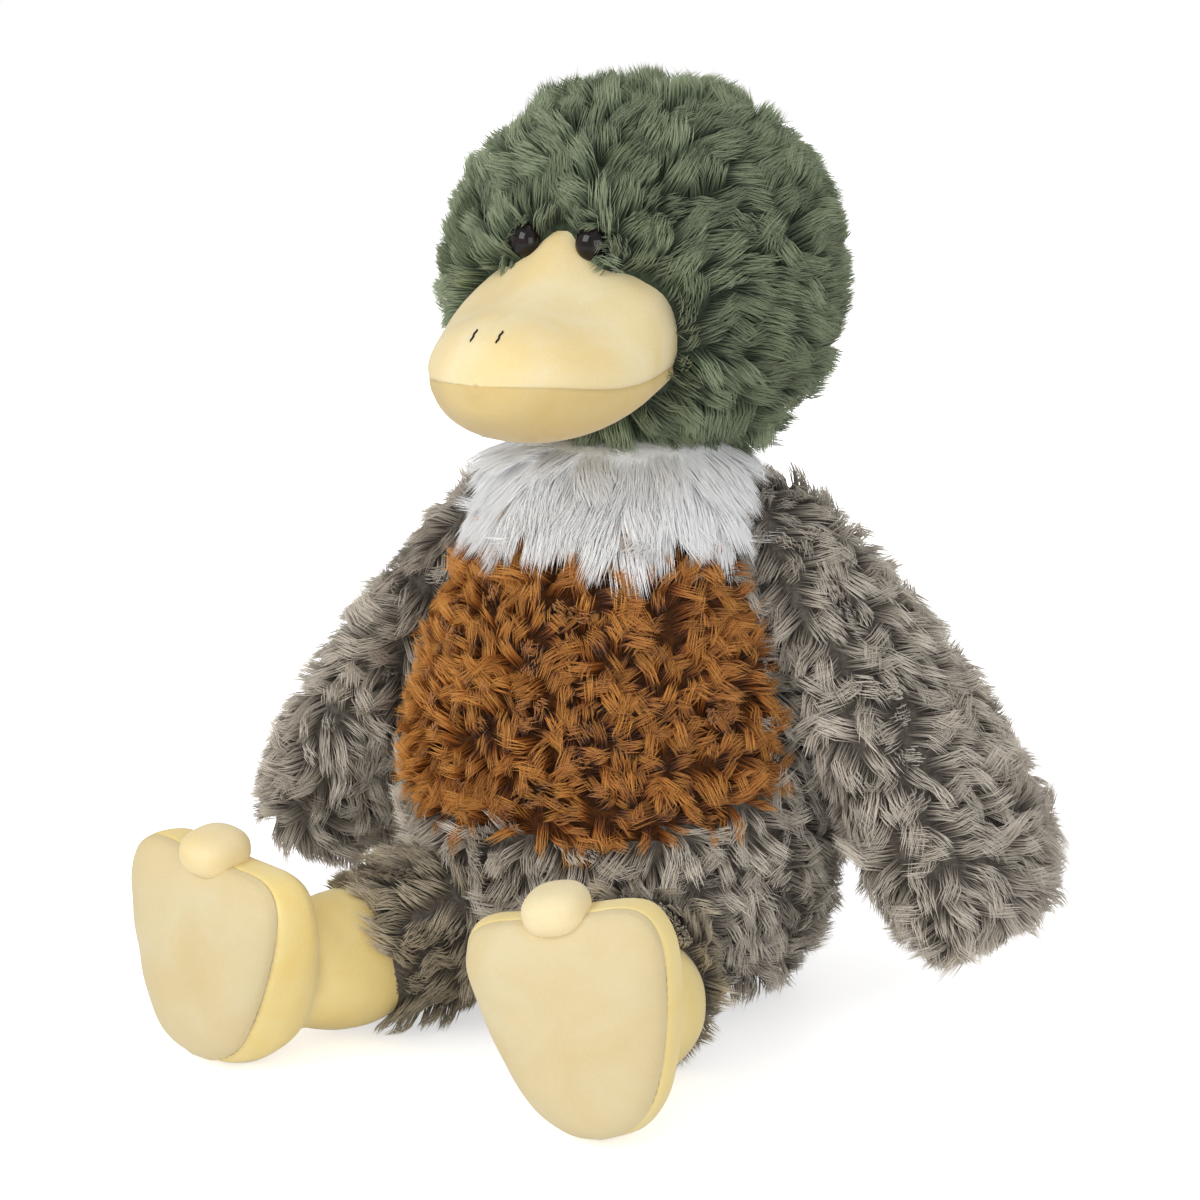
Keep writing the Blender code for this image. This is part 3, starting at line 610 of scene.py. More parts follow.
pile_tree = build_pile_tree()
print("pile tree has", len(pile_tree.nodes), "nodes")

# %% Growing pile on a cover
def grow_pile(name, cover, yarn, region=None, **sizes):
    """Strands on a cover, where region(point, normal) says so, as one plain mesh."""
    base = bpy.data.objects.new(name, cover.data.copy())
    rest_scene.objects.link(base)
    wanted = base.data.attributes.new("pile", "FLOAT", "FACE")
    for face in base.data.polygons:
        wanted.data[face.index].value = 1.0 if region is None else float(region(face.center, face.normal))
    grower = base.modifiers.new("pile", "NODES")
    grower.node_group = pile_tree
    sockets = named_inputs(pile_tree)
    grower[sockets["Yarn"]] = yarn
    for label, value in sizes.items():
        grower[sockets[label.replace("_", " ")]] = value
    settle(base)
    needed = {"OFBake", "position", "material_index", "sharp_face"}
    spare = [item.name for item in base.data.attributes if item.name not in needed and item.name[0] != "."]
    for label in spare:
        base.data.attributes.remove(base.data.attributes[label])
    print(name, "has", faces_of(base), "triangles")
    return base

# %% [markdown]
# ## Finishes
#
# The dyed pile's colour is darkest at the root, as painted shade where little light gets in, and lighter at
# the tip, as a painted highlight. Velour is a nap of half a millimetre: it has no visible hairs, only a soft
# mottle and a pale edge where the nap is seen from the side, which the shader's sheen gives.

# %% Yarn and backing
def new_paint(name, roughness, sheen=0.0):
    """A material with a Principled shader, and the wiring to its tree."""
    paint = bpy.data.materials.new(name)
    paint.use_nodes = True
    shader = paint.node_tree.nodes["Principled BSDF"]
    shader.inputs["Roughness"].default_value = roughness
    shader.inputs["Sheen Weight"].default_value = sheen
    shader.inputs["Sheen Roughness"].default_value = 0.4
    shader.inputs["Specular IOR Level"].default_value = 0.15
    return paint, shader, Wiring(paint.node_tree)


def ramp_of(w, fac, stops):
    """A colour ramp with its stops as (place, colour)."""
    ramp = w.add("ShaderNodeValToRGB", {"Fac": fac})
    elements = ramp.color_ramp.elements
    while len(elements) < len(stops):
        elements.new(0.5)
    for element, (place, colour) in zip(elements, stops):
        element.position = place
        element.color = (*colour, 1)
    return ramp.outputs["Color"]


def make_yarn(name, root, middle, tip, spread=0.5):
    """Pile strands: the UV map gives the way up the strand and the strand's own tint."""
    paint, shader, w = new_paint(name, roughness=0.8, sheen=0.25)
    spot = w.add("ShaderNodeSeparateXYZ", {"Vector": w.add("ShaderNodeUVMap", uv_map="OFBake").outputs["UV"]})
    # the colour runs from painted shade at the root, through the yarn's own colour, to a painted highlight at
    # the tip
    colour = ramp_of(w, spot.outputs["Y"], ((0.0, root), (0.45, middle), (1.0, tip)))
    light = w.number("MULTIPLY_ADD", spot.outputs["X"], spread, 1.0 - spread / 2)
    w.feed(shader.inputs["Base Color"], w.scaled(colour, light))
    return paint


def make_shaded_backing(name, dark, pale):
    """The cloth under the pile, darker than the pile as painted shade in the gaps between its roots, in a
    fine noise mottle.
    """
    paint, shader, w = new_paint(name, roughness=0.95)
    place = w.add("ShaderNodeTexCoord").outputs["Object"]
    noise = w.add("ShaderNodeTexNoise", {"Vector": place, "Scale": 420.0, "Detail": 3.0})
    w.feed(shader.inputs["Base Color"], ramp_of(w, noise.outputs["Fac"], ((0.3, dark), (0.7, pale))))
    bump = w.add("ShaderNodeBump", {"Height": noise.outputs["Fac"], "Distance": 0.001, "Strength": 0.6})
    w.feed(shader.inputs["Normal"], bump.outputs["Normal"])
    return paint


# each pile's root colour is painted shade, and its tip colour is a painted highlight
GREEN_ROOT_SHADE = (0.050, 0.064, 0.041)
GREEN_MIDDLE = (0.150, 0.190, 0.116)
GREEN_TIP_HIGHLIGHT = (0.380, 0.430, 0.275)
RUST_ROOT_SHADE = (0.040, 0.013, 0.004)
RUST_MIDDLE = (0.310, 0.098, 0.016)
RUST_TIP_HIGHLIGHT = (0.760, 0.370, 0.098)
TAUPE_ROOT_SHADE = (0.120, 0.104, 0.086)
TAUPE_MIDDLE = (0.402, 0.357, 0.297)
TAUPE_TIP_HIGHLIGHT = (0.800, 0.735, 0.640)
TAN_MIDDLE = (0.370, 0.320, 0.240)
TAN_TIP_HIGHLIGHT = (0.770, 0.680, 0.520)
WHITE_ROOT_SHADE = (0.940, 0.945, 0.950)
WHITE_MIDDLE = (0.965, 0.970, 0.975)
WHITE_TIP_HIGHLIGHT = (0.975, 0.980, 0.985)
green_yarn = make_yarn("green_yarn", GREEN_ROOT_SHADE, GREEN_MIDDLE, GREEN_TIP_HIGHLIGHT)
rust_yarn = make_yarn("rust_yarn", RUST_ROOT_SHADE, RUST_MIDDLE, RUST_TIP_HIGHLIGHT)
taupe_yarn = make_yarn("taupe_yarn", TAUPE_ROOT_SHADE, TAUPE_MIDDLE, TAUPE_TIP_HIGHLIGHT)
tan_yarn = make_yarn("tan_yarn", TAUPE_ROOT_SHADE, TAN_MIDDLE, TAN_TIP_HIGHLIGHT)
white_yarn = make_yarn("white_yarn", WHITE_ROOT_SHADE, WHITE_MIDDLE, WHITE_TIP_HIGHLIGHT, spread=0.08)
# the backings are painted shade: darker than their pile, as the gaps between its tufts look
green_backing = make_shaded_backing("green_backing", (0.022, 0.030, 0.019), (0.060, 0.080, 0.048))
rust_backing = make_shaded_backing("rust_backing", (0.035, 0.013, 0.005), (0.110, 0.040, 0.012))
taupe_backing = make_shaded_backing("taupe_backing", (0.070, 0.060, 0.050), (0.160, 0.140, 0.118))
white_backing = make_shaded_backing("white_backing", (0.800, 0.800, 0.790), (0.900, 0.900, 0.890))
print("pile and backing finishes ready")

# %% Velour
def make_velour(name, colour, brushed):
    """Short nap: the cloth's colour, brushed lighter and darker in soft patches."""
    paint, shader, w = new_paint(name, roughness=0.85, sheen=0.35)
    place = w.add("ShaderNodeTexCoord").outputs["Object"]
    patches = w.add("ShaderNodeTexNoise", {"Vector": place, "Scale": 38.0, "Detail": 3.0, "Distortion": 0.6})
    nap = w.add("ShaderNodeTexNoise", {"Vector": place, "Scale": 1500.0, "Detail": 2.0})
    broad = w.number("MULTIPLY", patches.outputs["Fac"], 0.75)
    blend = w.number("ADD", broad, w.number("MULTIPLY", nap.outputs["Fac"], 0.25))
    w.feed(shader.inputs["Base Color"], ramp_of(w, blend, ((0.36, brushed), (0.62, colour))))
    bump = w.add("ShaderNodeBump", {"Height": nap.outputs["Fac"], "Distance": 0.0004, "Strength": 0.35})
    w.feed(shader.inputs["Normal"], bump.outputs["Normal"])
    return paint


bill_velour = make_velour("bill_velour", (0.90, 0.77, 0.48), (0.87, 0.68, 0.32))
# the jaw's velour is darker than the bill's, partly as painted shade on the underside of the bill, and more
# orange
jaw_velour = make_velour("jaw_velour", (0.72, 0.555, 0.262), (0.67, 0.475, 0.18))
sole_velour = make_velour("sole_velour", (0.745, 0.635, 0.395), (0.71, 0.57, 0.305))
foot_velour = make_velour("foot_velour", (0.94, 0.79, 0.385), (0.91, 0.70, 0.27))
print("velour finishes ready")

# %% [markdown]
# ## Head
#
# The head is a slightly flattened ball. Its cloth lies one pile depth inside the outline that the photograph
# shows. The pile leaves bare the seat of the bill and the two eyes, and is combed away from the bill, over
# the top and round to the back, as the photograph shows.

# %% Head cloth
PILE_DEPTH = 7 * MM
HEAD_PILE_DEPTH = 9.3 * MM
HEAD_WIDTH = 151 * MM
HEAD_DEPTH = 143 * MM
HEAD_HEIGHT = 147 * MM
HEAD_CENTRE = Vector((0, 16 * MM, 257.5 * MM))
HEAD_POINTS = 16
HEAD_RINGS = 8


def head_bag(name, depth):
    """The head's rounded bag, a stated depth inside its outline."""
    rings = []
    grow = 1 / draw_in(2 * HEAD_RINGS)
    for step in range(HEAD_RINGS):
        polar = math.pi * (step + 0.5) / HEAD_RINGS
        centre = HEAD_CENTRE - UP * (HEAD_HEIGHT / 2 * grow * math.cos(polar))
        spread = grow * math.sin(polar)
        halves = spread * HEAD_WIDTH / 2, spread * HEAD_DEPTH / 2
        rings.append(ring(centre, ACROSS, BACK, *halves, HEAD_POINTS))
    bag = loft(name, rings)
    shrink(bag, depth)
    return bag


head_cloth = head_bag("head_cloth", HEAD_PILE_DEPTH)
head_cloth.data.materials.append(green_backing)
print("head cloth:", faces_of(head_cloth), "triangles")

# %% Bill outline
BILL_LENGTH = 75.5 * MM
BILL_ROOT = 30 * MM
MOUTH_HEIGHT = 233 * MM
# share of the length, then in mm: half width, height above the mouth, depth below it; and how oval it is
BILL_TABLE = (
    (-0.12, 33.0, 55.5, 9.0, 0.00),
    (0.00, 37.2, 54.0, 13.0, 0.00),
    (0.20, 39.4, 46.5, 16.8, 0.00),
    (0.34, 39.4, 39.6, 18.6, 0.08),
    (0.48, 37.3, 32.6, 19.8, 0.30),
    (0.64, 33.2, 26.2, 19.8, 0.65),
    (0.78, 27.8, 21.4, 18.0, 0.92),
    (0.89, 20.6, 16.4, 14.4, 1.00),
    (0.96, 13.0, 10.8, 9.8, 1.00),
    (1.00, 2.0, 2.4, 2.6, 1.00),
)
# way from the mouth corner to the ridge, then across and up as shares
SPADE_TABLE = (
    (0.00, 0.955, 0.00),
    (0.10, 0.985, 0.10),
    (0.24, 0.99, 0.30),
    (0.38, 0.90, 0.49),
    (0.52, 0.70, 0.632),
    (0.66, 0.485, 0.75),
    (0.78, 0.30, 0.86),
    (0.90, 0.13, 0.96),
    (1.00, 0.00, 1.00),
)


def bill_section(along):
    """Half width, crown height, jaw depth and ovalness at a share of the bill's length."""
    half, crown, jaw, oval = along_table(BILL_TABLE, along)
    return half * MM, crown * MM, jaw * MM, clamp(oval)


def crown_point(along, way):
    """Across and up, in metres from the mouth, on the upper bill's outline."""
    half, crown, _, oval = bill_section(along)
    wide, high = along_table(SPADE_TABLE, way)
    turn = math.pi / 2 * way
    wide = wide + (math.cos(turn) - wide) * oval
    high = high + (math.sin(turn) - high) * oval
    return half * wide, crown * high


print("bill section half way:", [round(value / MM, 1) for value in bill_section(0.5)[:3]])

# %% [markdown]
# ## Bill
#
# Two velour pads meet at the mouth. Each is a skin over sections that follow the ridge of the bill, from wide
# and high at the head to low and narrow at the tip. Each rounds under at the mouth, so that a crease shows
# between them, and the upper one dips along its centre seam.

# %% Bill pads
BILL_STEPS = 72
CROWN_STEPS = 56
JAW_STEPS = 28
MOUTH_CREASE = 0.8 * MM
CREASE_WIDTH = 2.2 * MM
RIDGE_CREASE = 0.8 * MM
RIDGE_WIDTH = 1.3 * MM
# the centre seam fades out over this share of the length, before the tip
SEAM_END = 0.93
SEAM_FADE = 0.08
MOUTH_DIP = 3.0 * MM
MOUTH_LIFT = 0.5 * MM
JAW_TUCK = 0.955
JAW_SWELL = 0.3
JAW_POWER = 0.9
TIP_POWER = 1.6


def mouth_height(along):
    """The mouth seam dips a little in the middle and lifts at its corners."""
    return MOUTH_HEIGHT - MOUTH_DIP * math.sin(math.pi * clamp(along)) ** 2 + MOUTH_LIFT


def crease(distance, width):
    """How deep a sewn crease is at a distance from its seam, from 1 to 0."""
    return math.exp(-((distance / width) ** 2))


def upper_ring(along):
    """One section of the upper bill, from corner to corner over the ridge."""
    y = -(BILL_ROOT + along * BILL_LENGTH)
    seam = mouth_height(along)
    stitched = clamp((SEAM_END - along) / SEAM_FADE)
    points = []
    for step in range(CROWN_STEPS + 1):
        way = 1 - abs(1 - 2 * step / CROWN_STEPS)
        side = 1 if step * 2 < CROWN_STEPS else -1
        wide, high = crown_point(along, way)
        inward = MOUTH_CREASE * crease(high, CREASE_WIDTH)
        dip = RIDGE_CREASE * stitched * crease(wide, RIDGE_WIDTH)
        points.append(Vector((side * max(wide - inward, 0.0), y, seam + high - dip)))
    return points


def lower_ring(along):
    """One section of the lower bill, from corner to corner under the jaw."""
    y = -(BILL_ROOT + along * BILL_LENGTH)
    seam = mouth_height(along)
    corner, _ = crown_point(along, 0.0)
    half, _, jaw, _ = bill_section(along)
    half *= JAW_TUCK
    points = []
    for step in range(JAW_STEPS + 1):
        turn = math.pi * step / JAW_STEPS
        drop = jaw * math.sin(turn)
        inward = MOUTH_CREASE * crease(drop, CREASE_WIDTH)
        swell = corner + (half - corner) * min(drop / (JAW_SWELL * jaw), 1.0)
        across = math.copysign(abs(math.cos(turn)) ** JAW_POWER, math.cos(turn))
        points.append(Vector((across * (swell - inward), y, seam - drop)))
    return points


def bill_places():
    """Shares of the length, closer together towards the rounded tip."""
    start = BILL_TABLE[0][0]
    return [1 - (1 - start) * (1 - step / BILL_STEPS) ** TIP_POWER for step in range(BILL_STEPS + 1)]


bill_pads = {}
for pad_name, section in (("upper_bill_pad", upper_ring), ("lower_bill_pad", lower_ring)):
    pad = skin(pad_name, [section(along) for along in bill_places()])
    pad.data.materials.append(bill_velour if section is upper_ring else jaw_velour)
    bill_pads[pad_name] = pad
    print(pad_name, faces_of(pad), "triangles")

# %% [markdown]
# The nostrils are two short stitches of black thread. Each is a tube along a zigzag of points on the pad.

# %% Nostril stitches
THREAD_RADIUS = 0.36 * MM
THREAD_SIDES = 8
THREAD_END = 0.55
NOSTRIL_ACROSS = 4.7 * MM
# shares of the bill's length
NOSTRIL_START = 0.867
NOSTRIL_LENGTH = 0.062
NOSTRIL_STEPS = 8
NOSTRIL_SWAY = 0.14 * MM
NOSTRIL_RISE = 0.15 * MM
SEARCH_STEPS = 24


def ridge_spot(across, along):
    """A point on the upper bill, a little beside its ridge."""
    low, high = 0.0, 1.0
    for _ in range(SEARCH_STEPS):
        way = (low + high) / 2
        wide, _ = crown_point(along, way)
        low, high = (way, high) if wide > abs(across) else (low, way)
    wide, rise = crown_point(along, low)
    return Vector((across, -(BILL_ROOT + along * BILL_LENGTH), mouth_height(along) + rise))


def tube(name, path, radius):
    """A closed round thread along a path."""
    rings = []
    for step, point in enumerate(path):
        ahead = path[min(step + 1, len(path) - 1)] - path[max(step - 1, 0)]
        turn = ahead.to_track_quat("Z", "Y")
        size = radius * (THREAD_END if step in (0, len(path) - 1) else 1.0)
        spots = [math.tau * side / THREAD_SIDES for side in range(THREAD_SIDES)]
        rings.append([point + turn @ Vector((math.cos(spot), math.sin(spot), 0)) * size for spot in spots])
    return skin(name, rings)


def make_thread(name, colour, depth=0.5):
    """Twisted thread: fine ridges run round it as painted bands, and the grooves between them are darker as
    painted shade.
    """
    paint, shader, w = new_paint(name, roughness=0.6, sheen=0.2)
    place = w.add("ShaderNodeTexCoord").outputs["Object"]
    twist = w.add(
        "ShaderNodeTexWave",
        {"Vector": place, "Scale": 900.0, "Distortion": 1.5},
        bands_direction="DIAGONAL",
    )
    # painted shade in the grooves: depth is the share of the colour that is left there
    groove_shades = ((0.2, tuple(part * depth for part in colour)), (0.8, colour))
    w.feed(shader.inputs["Base Color"], ramp_of(w, twist.outputs["Fac"], groove_shades))
    return paint


black_thread = make_thread("black_thread", (0.018, 0.017, 0.016))
nostrils = {}
for side_name, side in SIDES.items():
    path = []
    for step in range(NOSTRIL_STEPS + 1):
        along = NOSTRIL_START + NOSTRIL_LENGTH * step / NOSTRIL_STEPS
        sway = NOSTRIL_SWAY * (1 if step % 4 in (1, 2) else -1)
        path.append(ridge_spot(side * NOSTRIL_ACROSS + sway, along) + UP * NOSTRIL_RISE)
    nostrils[side_name] = tube("nostril_stitch_" + side_name, path, THREAD_RADIUS)
    nostrils[side_name].data.materials.append(black_thread)
print("nostril stitches:", faces_of(nostrils["left"]), "triangles each")

# %% [markdown]
# The head's pile starts at the bill's edge and at the eyes. So the bill's faces are kept in a tree that can
# be asked how near a point is, and the cloth is raised where a bare rim would show: towards the bill, and
# round the eyes, whose washers lie under it.

# %% Eye places
EYE_RADIUS = 6 * MM
EYE_BARE = EYE_RADIUS - 2.0 * MM
EYE_COVER_START = 9 * MM
EYE_COVER_END = 17 * MM
EYE_COVER_RISE = 3.6 * MM
EYE_SEAT = Vector((12.9 * MM, -48.2 * MM, 274.8 * MM))
EYE_LOOK = Vector((0.30, -1.0, 0.12))


def eye_seat(side):
    """The middle of an eye's flat back, and the way that the eye looks."""
    seat = Vector((side * EYE_SEAT.x, EYE_SEAT.y, EYE_SEAT.z))
    return seat, Vector((side * EYE_LOOK.x, EYE_LOOK.y, EYE_LOOK.z)).normalized()


print("eyes sit at", [round(value / MM, 1) for value in eye_seat(1)[0]])

# %% Where the head is bare
BILL_MARGIN = 0.4 * MM
NECK_OPENING_TOP = 205 * MM
NECK_OPENING_RADIUS = 27 * MM
NECK_OPENING_BACK = 4 * MM
bill_skin = BVHTree.FromPolygons(
    [vertex.co.copy() for pad in bill_pads.values() for vertex in pad.data.vertices],
    [
        tuple(index + start for index in face.vertices)
        for pad, start in zip(bill_pads.values(), (0, len(bill_pads["upper_bill_pad"].data.vertices)))
        for face in pad.data.polygons
    ],
)


def in_bill(point, margin):
    """Whether a point lies inside the bill's skin, grown by a margin."""
    spot, normal, _, distance = bill_skin.find_nearest(point)
    return (distance if (point - spot).dot(normal) > 0 else -distance) < margin


def head_region(point, side, end):
    """Where the head grows pile, on one quarter: not under the bill, on the eyes nor round the neck."""
    if point.x * side < 0 or (point.y - HEAD_CENTRE.y) * end < 0 or in_bill(point, BILL_MARGIN):
        return 0.0
    beside_neck = math.hypot(point.x, point.y - NECK_OPENING_BACK)
    if point.z < NECK_OPENING_TOP and beside_neck < NECK_OPENING_RADIUS:
        return 0.0
    return float(all((point - eye_seat(eye_side)[0]).length >= EYE_BARE for eye_side in SIDES.values()))


bill_middle = Vector((0, -BILL_ROOT - BILL_LENGTH / 2, MOUTH_HEIGHT))
print("the middle of the bill is bare:", in_bill(bill_middle, BILL_MARGIN))

# %% Raising the cloth
BILL_COVER_REACH = 9 * MM
BILL_COVER_RISE = 2.0 * MM
for vertex in head_cloth.data.vertices:
    if in_bill(vertex.co, BILL_COVER_REACH):
        vertex.co += vertex.normal * BILL_COVER_RISE
for vertex in head_cloth.data.vertices:
    gap = min((vertex.co - eye_seat(side)[0]).length for side in SIDES.values())
    cover = smooth_step(clamp((EYE_COVER_END - gap) / (EYE_COVER_END - EYE_COVER_START)))
    beside = min(abs(vertex.co.x) / EYE_COVER_START, 1.0) ** 2
    vertex.co += vertex.normal * (EYE_COVER_RISE * beside * cover)
head_cloth.data.update()
print("head cloth raised round", len(SIDES), "eyes and the bill")

# %% Head pile
head_piles = {}
for side_name, side in SIDES.items():
    for end_name, end in (("front", -1), ("back", 1)):
        head_piles[side_name + "_" + end_name] = grow_pile(
            "head_pile_" + side_name + "_" + end_name,
            head_cloth,
            green_yarn,
            lambda point, normal, side=side, end=end: head_region(point, side, end),
            Strands=1100000.0,
            Tuft_Spacing=0.0056,
            Length=0.0140,
            Width=0.00037,
            Lift=1.0,
            Gather=0.12,
            Curl=0.35,
            Comb=0.9,
            Comb_From=(0.0, -0.065, 0.245),
            Swirl=1.0,
            Swirl_Size=0.024,
            Seed=10,
        )

# %% [markdown]
# ## Eyes
#
# Safety eyes are moulded domes pressed through the cloth. Each is a squashed ball, half of it sunk in the
# cloth, and its black has a faint brown mottle deep in it, as polished plastic shows.

# %% Eyes
EYE_RISE = 4.5 * MM
EYE_SHINE = 0.35
EYE_BLACK = ((0.4, (0.004, 0.003, 0.003)), (0.7, (0.018, 0.010, 0.008)))
WASHER_MILK = ((0.35, (0.70, 0.69, 0.66)), (0.65, (0.80, 0.79, 0.76)))


def make_eye(name, side):
    """A glossy dome on the head cloth."""
    seat, look = eye_seat(side)
    shape = bmesh.new()
    bmesh.ops.create_uvsphere(shape, u_segments=32, v_segments=16, radius=1)
    bmesh.ops.scale(shape, verts=shape.verts, vec=(EYE_RADIUS, EYE_RADIUS, EYE_RISE))
    eye = plain_object(name, shape)
    eye.data.transform(Matrix.Translation(seat) @ look.to_track_quat("Z", "Y").to_matrix().to_4x4())
    eye.data.shade_smooth()
    return eye


def mottled_plastic(name, roughness, scale, stops):
    """Moulded plastic whose colour wanders between its stops, and its shader."""
    paint, shader, w = new_paint(name, roughness=roughness)
    place = w.add("ShaderNodeTexCoord").outputs["Object"]
    mottle = w.add("ShaderNodeTexNoise", {"Vector": place, "Scale": scale, "Detail": 2.0})
    w.feed(shader.inputs["Base Color"], ramp_of(w, mottle.outputs["Fac"], stops))
    return paint, shader


washer_milk, _ = mottled_plastic("washer_milk", 0.45, 180.0, WASHER_MILK)
for side_name in SIDES:
    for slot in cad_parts["eye_washer_" + side_name].material_slots:
        slot.material = washer_milk
eye_gloss, eye_shader = mottled_plastic("eye_gloss", 0.06, 250.0, EYE_BLACK)
eye_shader.inputs["Specular IOR Level"].default_value = EYE_SHINE
eyes = {name: make_eye("eye_dome_" + name, side) for name, side in SIDES.items()}
for eye in eyes.values():
    eye.data.materials.append(eye_gloss)
print("eyes:", faces_of(eyes["left"]), "triangles each")

# %% [markdown]
# In the photograph the eyes are sunk in the pile, which falls over their outer and upper edges. The head's
# pile is combed away from the bill, so a small patch beside each eye is combed the other way.

# %% Brows
BROW_NEAR = 5.6 * MM
BROW_FAR = 9.0 * MM
BROW_OUT = 1.5 * MM
BROW_TILT = 0.6
# where the patch is combed from, beside and above the eye
BROW_COMB_BESIDE = 30 * MM
BROW_COMB_ABOVE = 22 * MM


def brow_region(point, side):
    """The patch beside an eye, on the side away from the bill."""
    away = point - eye_seat(side)[0]
    outward = away.x * side + BROW_TILT * away.z
    return float(BROW_NEAR < away.length < BROW_FAR and outward > BROW_OUT)


brows = {}
for side_name, side in SIDES.items():
    brows[side_name] = grow_pile(
        "brow_" + side_name,
        head_cloth,
        green_yarn,
        lambda point, normal, side=side: brow_region(point, side),
        Strands=2400000.0,
        Tuft_Spacing=0.0040,
        Length=0.0088,
        Width=0.00037,
        Lift=0.95,
        Gather=0.10,
        Curl=0.3,
        Comb=3.0,
        Comb_From=tuple(eye_seat(side)[0] + Vector((side * BROW_COMB_BESIDE, 0.0, BROW_COMB_ABOVE))),
        Swirl=0.3,
        Swirl_Size=0.02,
        Seed=15 + side,
    )

# %% [markdown]
# ## Torso
#
# A pear-shaped bag, sewn from a chest panel, a belly panel, two back panels and a collar. The cloth is one
# mesh, and the panels differ in what pile grows on them.

# %% Torso cloth
TORSO_HEIGHT = 202 * MM
TORSO_WIDTH = 166 * MM
TORSO_DEPTH = 160 * MM
TORSO_LEAN = 12 * MM
TORSO_POINTS = 16
# points round every thinner bag
ROUND_POINTS = 12
TORSO_FLOOR = 0.5 * MM
TORSO_TOP = 197 * MM
# height, width, depth, lean
TORSO_SHARES = (
    (0.00, 0.66, 0.66, 0.0),
    (0.05, 0.86, 0.84, 0.0),
    (0.22, 1.01, 1.00, 0.0),
    (0.42, 0.99, 0.99, 0.3),
    (0.66, 0.82, 0.82, 0.8),
    (0.88, 0.60, 0.61, 0.3),
    (1.00, 0.42, 0.435, 0.0),
)


def torso_bag(name, depth):
    """The torso's rounded bag, flat on top where the neck begins."""
    rings = []
    for height, width, thick, lean in TORSO_SHARES:
        centre = Vector((0, -lean * TORSO_LEAN, height * TORSO_HEIGHT))
        halves = width * TORSO_WIDTH / 2, thick * TORSO_DEPTH / 2
        rings.append(ring(centre, ACROSS, BACK, *halves, TORSO_POINTS))
    bag = loft(name, rings)
    shrink(bag, depth)
    for vertex in bag.data.vertices:
        vertex.co.z = min(max(vertex.co.z, TORSO_FLOOR), TORSO_TOP)
    bag.data.update()
    return bag


torso_cloth = torso_bag("torso_cloth", PILE_DEPTH)
print("torso cloth:", faces_of(torso_cloth), "triangles")

# %% Panels of the torso
CHEST_BOTTOM = 77 * MM
CHEST_TOP = 176 * MM
CHEST_HALF_ANGLE = 76.0
CHEST_FORWARD = 4 * MM
# the chest's lower edge rises towards its corners, from this share of the half angle on
CORNER_START = 0.35
CORNER_RISE = 16 * MM
LEG_SPLAY = {"left": math.radians(29), "right": math.radians(33)}
HIP_REACH = 77 * MM
HIP_HEIGHT = 32 * MM
HIP_RADIUS = 31.5 * MM
HIP_HOLE = HIP_RADIUS - 4 * MM
# no pile grows where the cloth looks further down or up than these
LOOKS_DOWN = -0.8
LOOKS_UP = 0.9


def hip(name):
    """The middle of a leg's rounded root."""
    return heading(SIDES[name] * LEG_SPLAY[name]) * HIP_REACH + UP * HIP_HEIGHT


def torso_panel(point):
    """Which panel of the torso a point of its cloth belongs to."""
    angle = math.degrees(math.atan2(point.x, -point.y - CHEST_FORWARD))
    if point.z > CHEST_TOP:
        return "collar"
    if abs(angle) > CHEST_HALF_ANGLE:
        return "back_left" if angle > 0 else "back_right"
    corner = max(abs(angle) / CHEST_HALF_ANGLE - CORNER_START, 0.0) / (1 - CORNER_START)
    return "chest" if point.z > CHEST_BOTTOM + CORNER_RISE * corner**2 else "belly"


def grows(point, normal, panel):
    """Whether a panel's pile grows at a point: not under the base, nor where a leg is sewn on."""
    if normal.z < LOOKS_DOWN or normal.z > LOOKS_UP:
        return 0.0
    if any((point - hip(name)).length < HIP_HOLE for name in SIDES):
        return 0.0
    return float(torso_panel(point) == panel)


backing_of = {
    "collar": white_backing,
    "chest": rust_backing,
    "belly": taupe_backing,
    "back_left": taupe_backing,
    "back_right": taupe_backing,
}
for cloth in (white_backing, rust_backing, taupe_backing):
    torso_cloth.data.materials.append(cloth)
for face in torso_cloth.data.polygons:
    face.material_index = torso_cloth.data.materials.find(backing_of[torso_panel(face.center)].name)
chest_faces = [face for face in torso_cloth.data.polygons if torso_panel(face.center) == "chest"]
print("faces of chest cloth:", len(chest_faces))

# %% Torso pile
FRONT = (0.0, -0.2, 0.15)
ABOVE = (0.0, 0.0, 0.4)
torso_piles = {}
for panel, yarn, comb_from, curl, spacing, strands, seed in (
    ("chest", rust_yarn, FRONT, 0.8, 0.0030, 1100000.0, 20),
    ("belly", taupe_yarn, ABOVE, 0.7, 0.0044, 850000.0, 21),
    ("back_left", taupe_yarn, ABOVE, 0.7, 0.0044, 650000.0, 22),
    ("back_right", taupe_yarn, ABOVE, 0.7, 0.0044, 650000.0, 23),
):
    torso_piles[panel] = grow_pile(
        panel + "_pile",
        torso_cloth,
        yarn,
        lambda point, normal, panel=panel: grows(point, normal, panel),
        Strands=strands,
        Tuft_Spacing=spacing,
        Length=0.0128,
        Width=0.00040,
        Lift=0.95,
        Gather=0.2,
        Curl=curl,
        Comb=0.45,
        Comb_From=comb_from,
        Swirl=1.6,
        Swirl_Size=0.017,
        Seed=seed,
    )

# %% [markdown]
# The collar is a band of longer, straighter pile that covers the neck seam. It stands up under the head, and
# its hairs fall over the chest and the shoulders.

# %% Collar
COLLAR_PILE_TOP = 204 * MM
COLLAR_RIM = 0.85
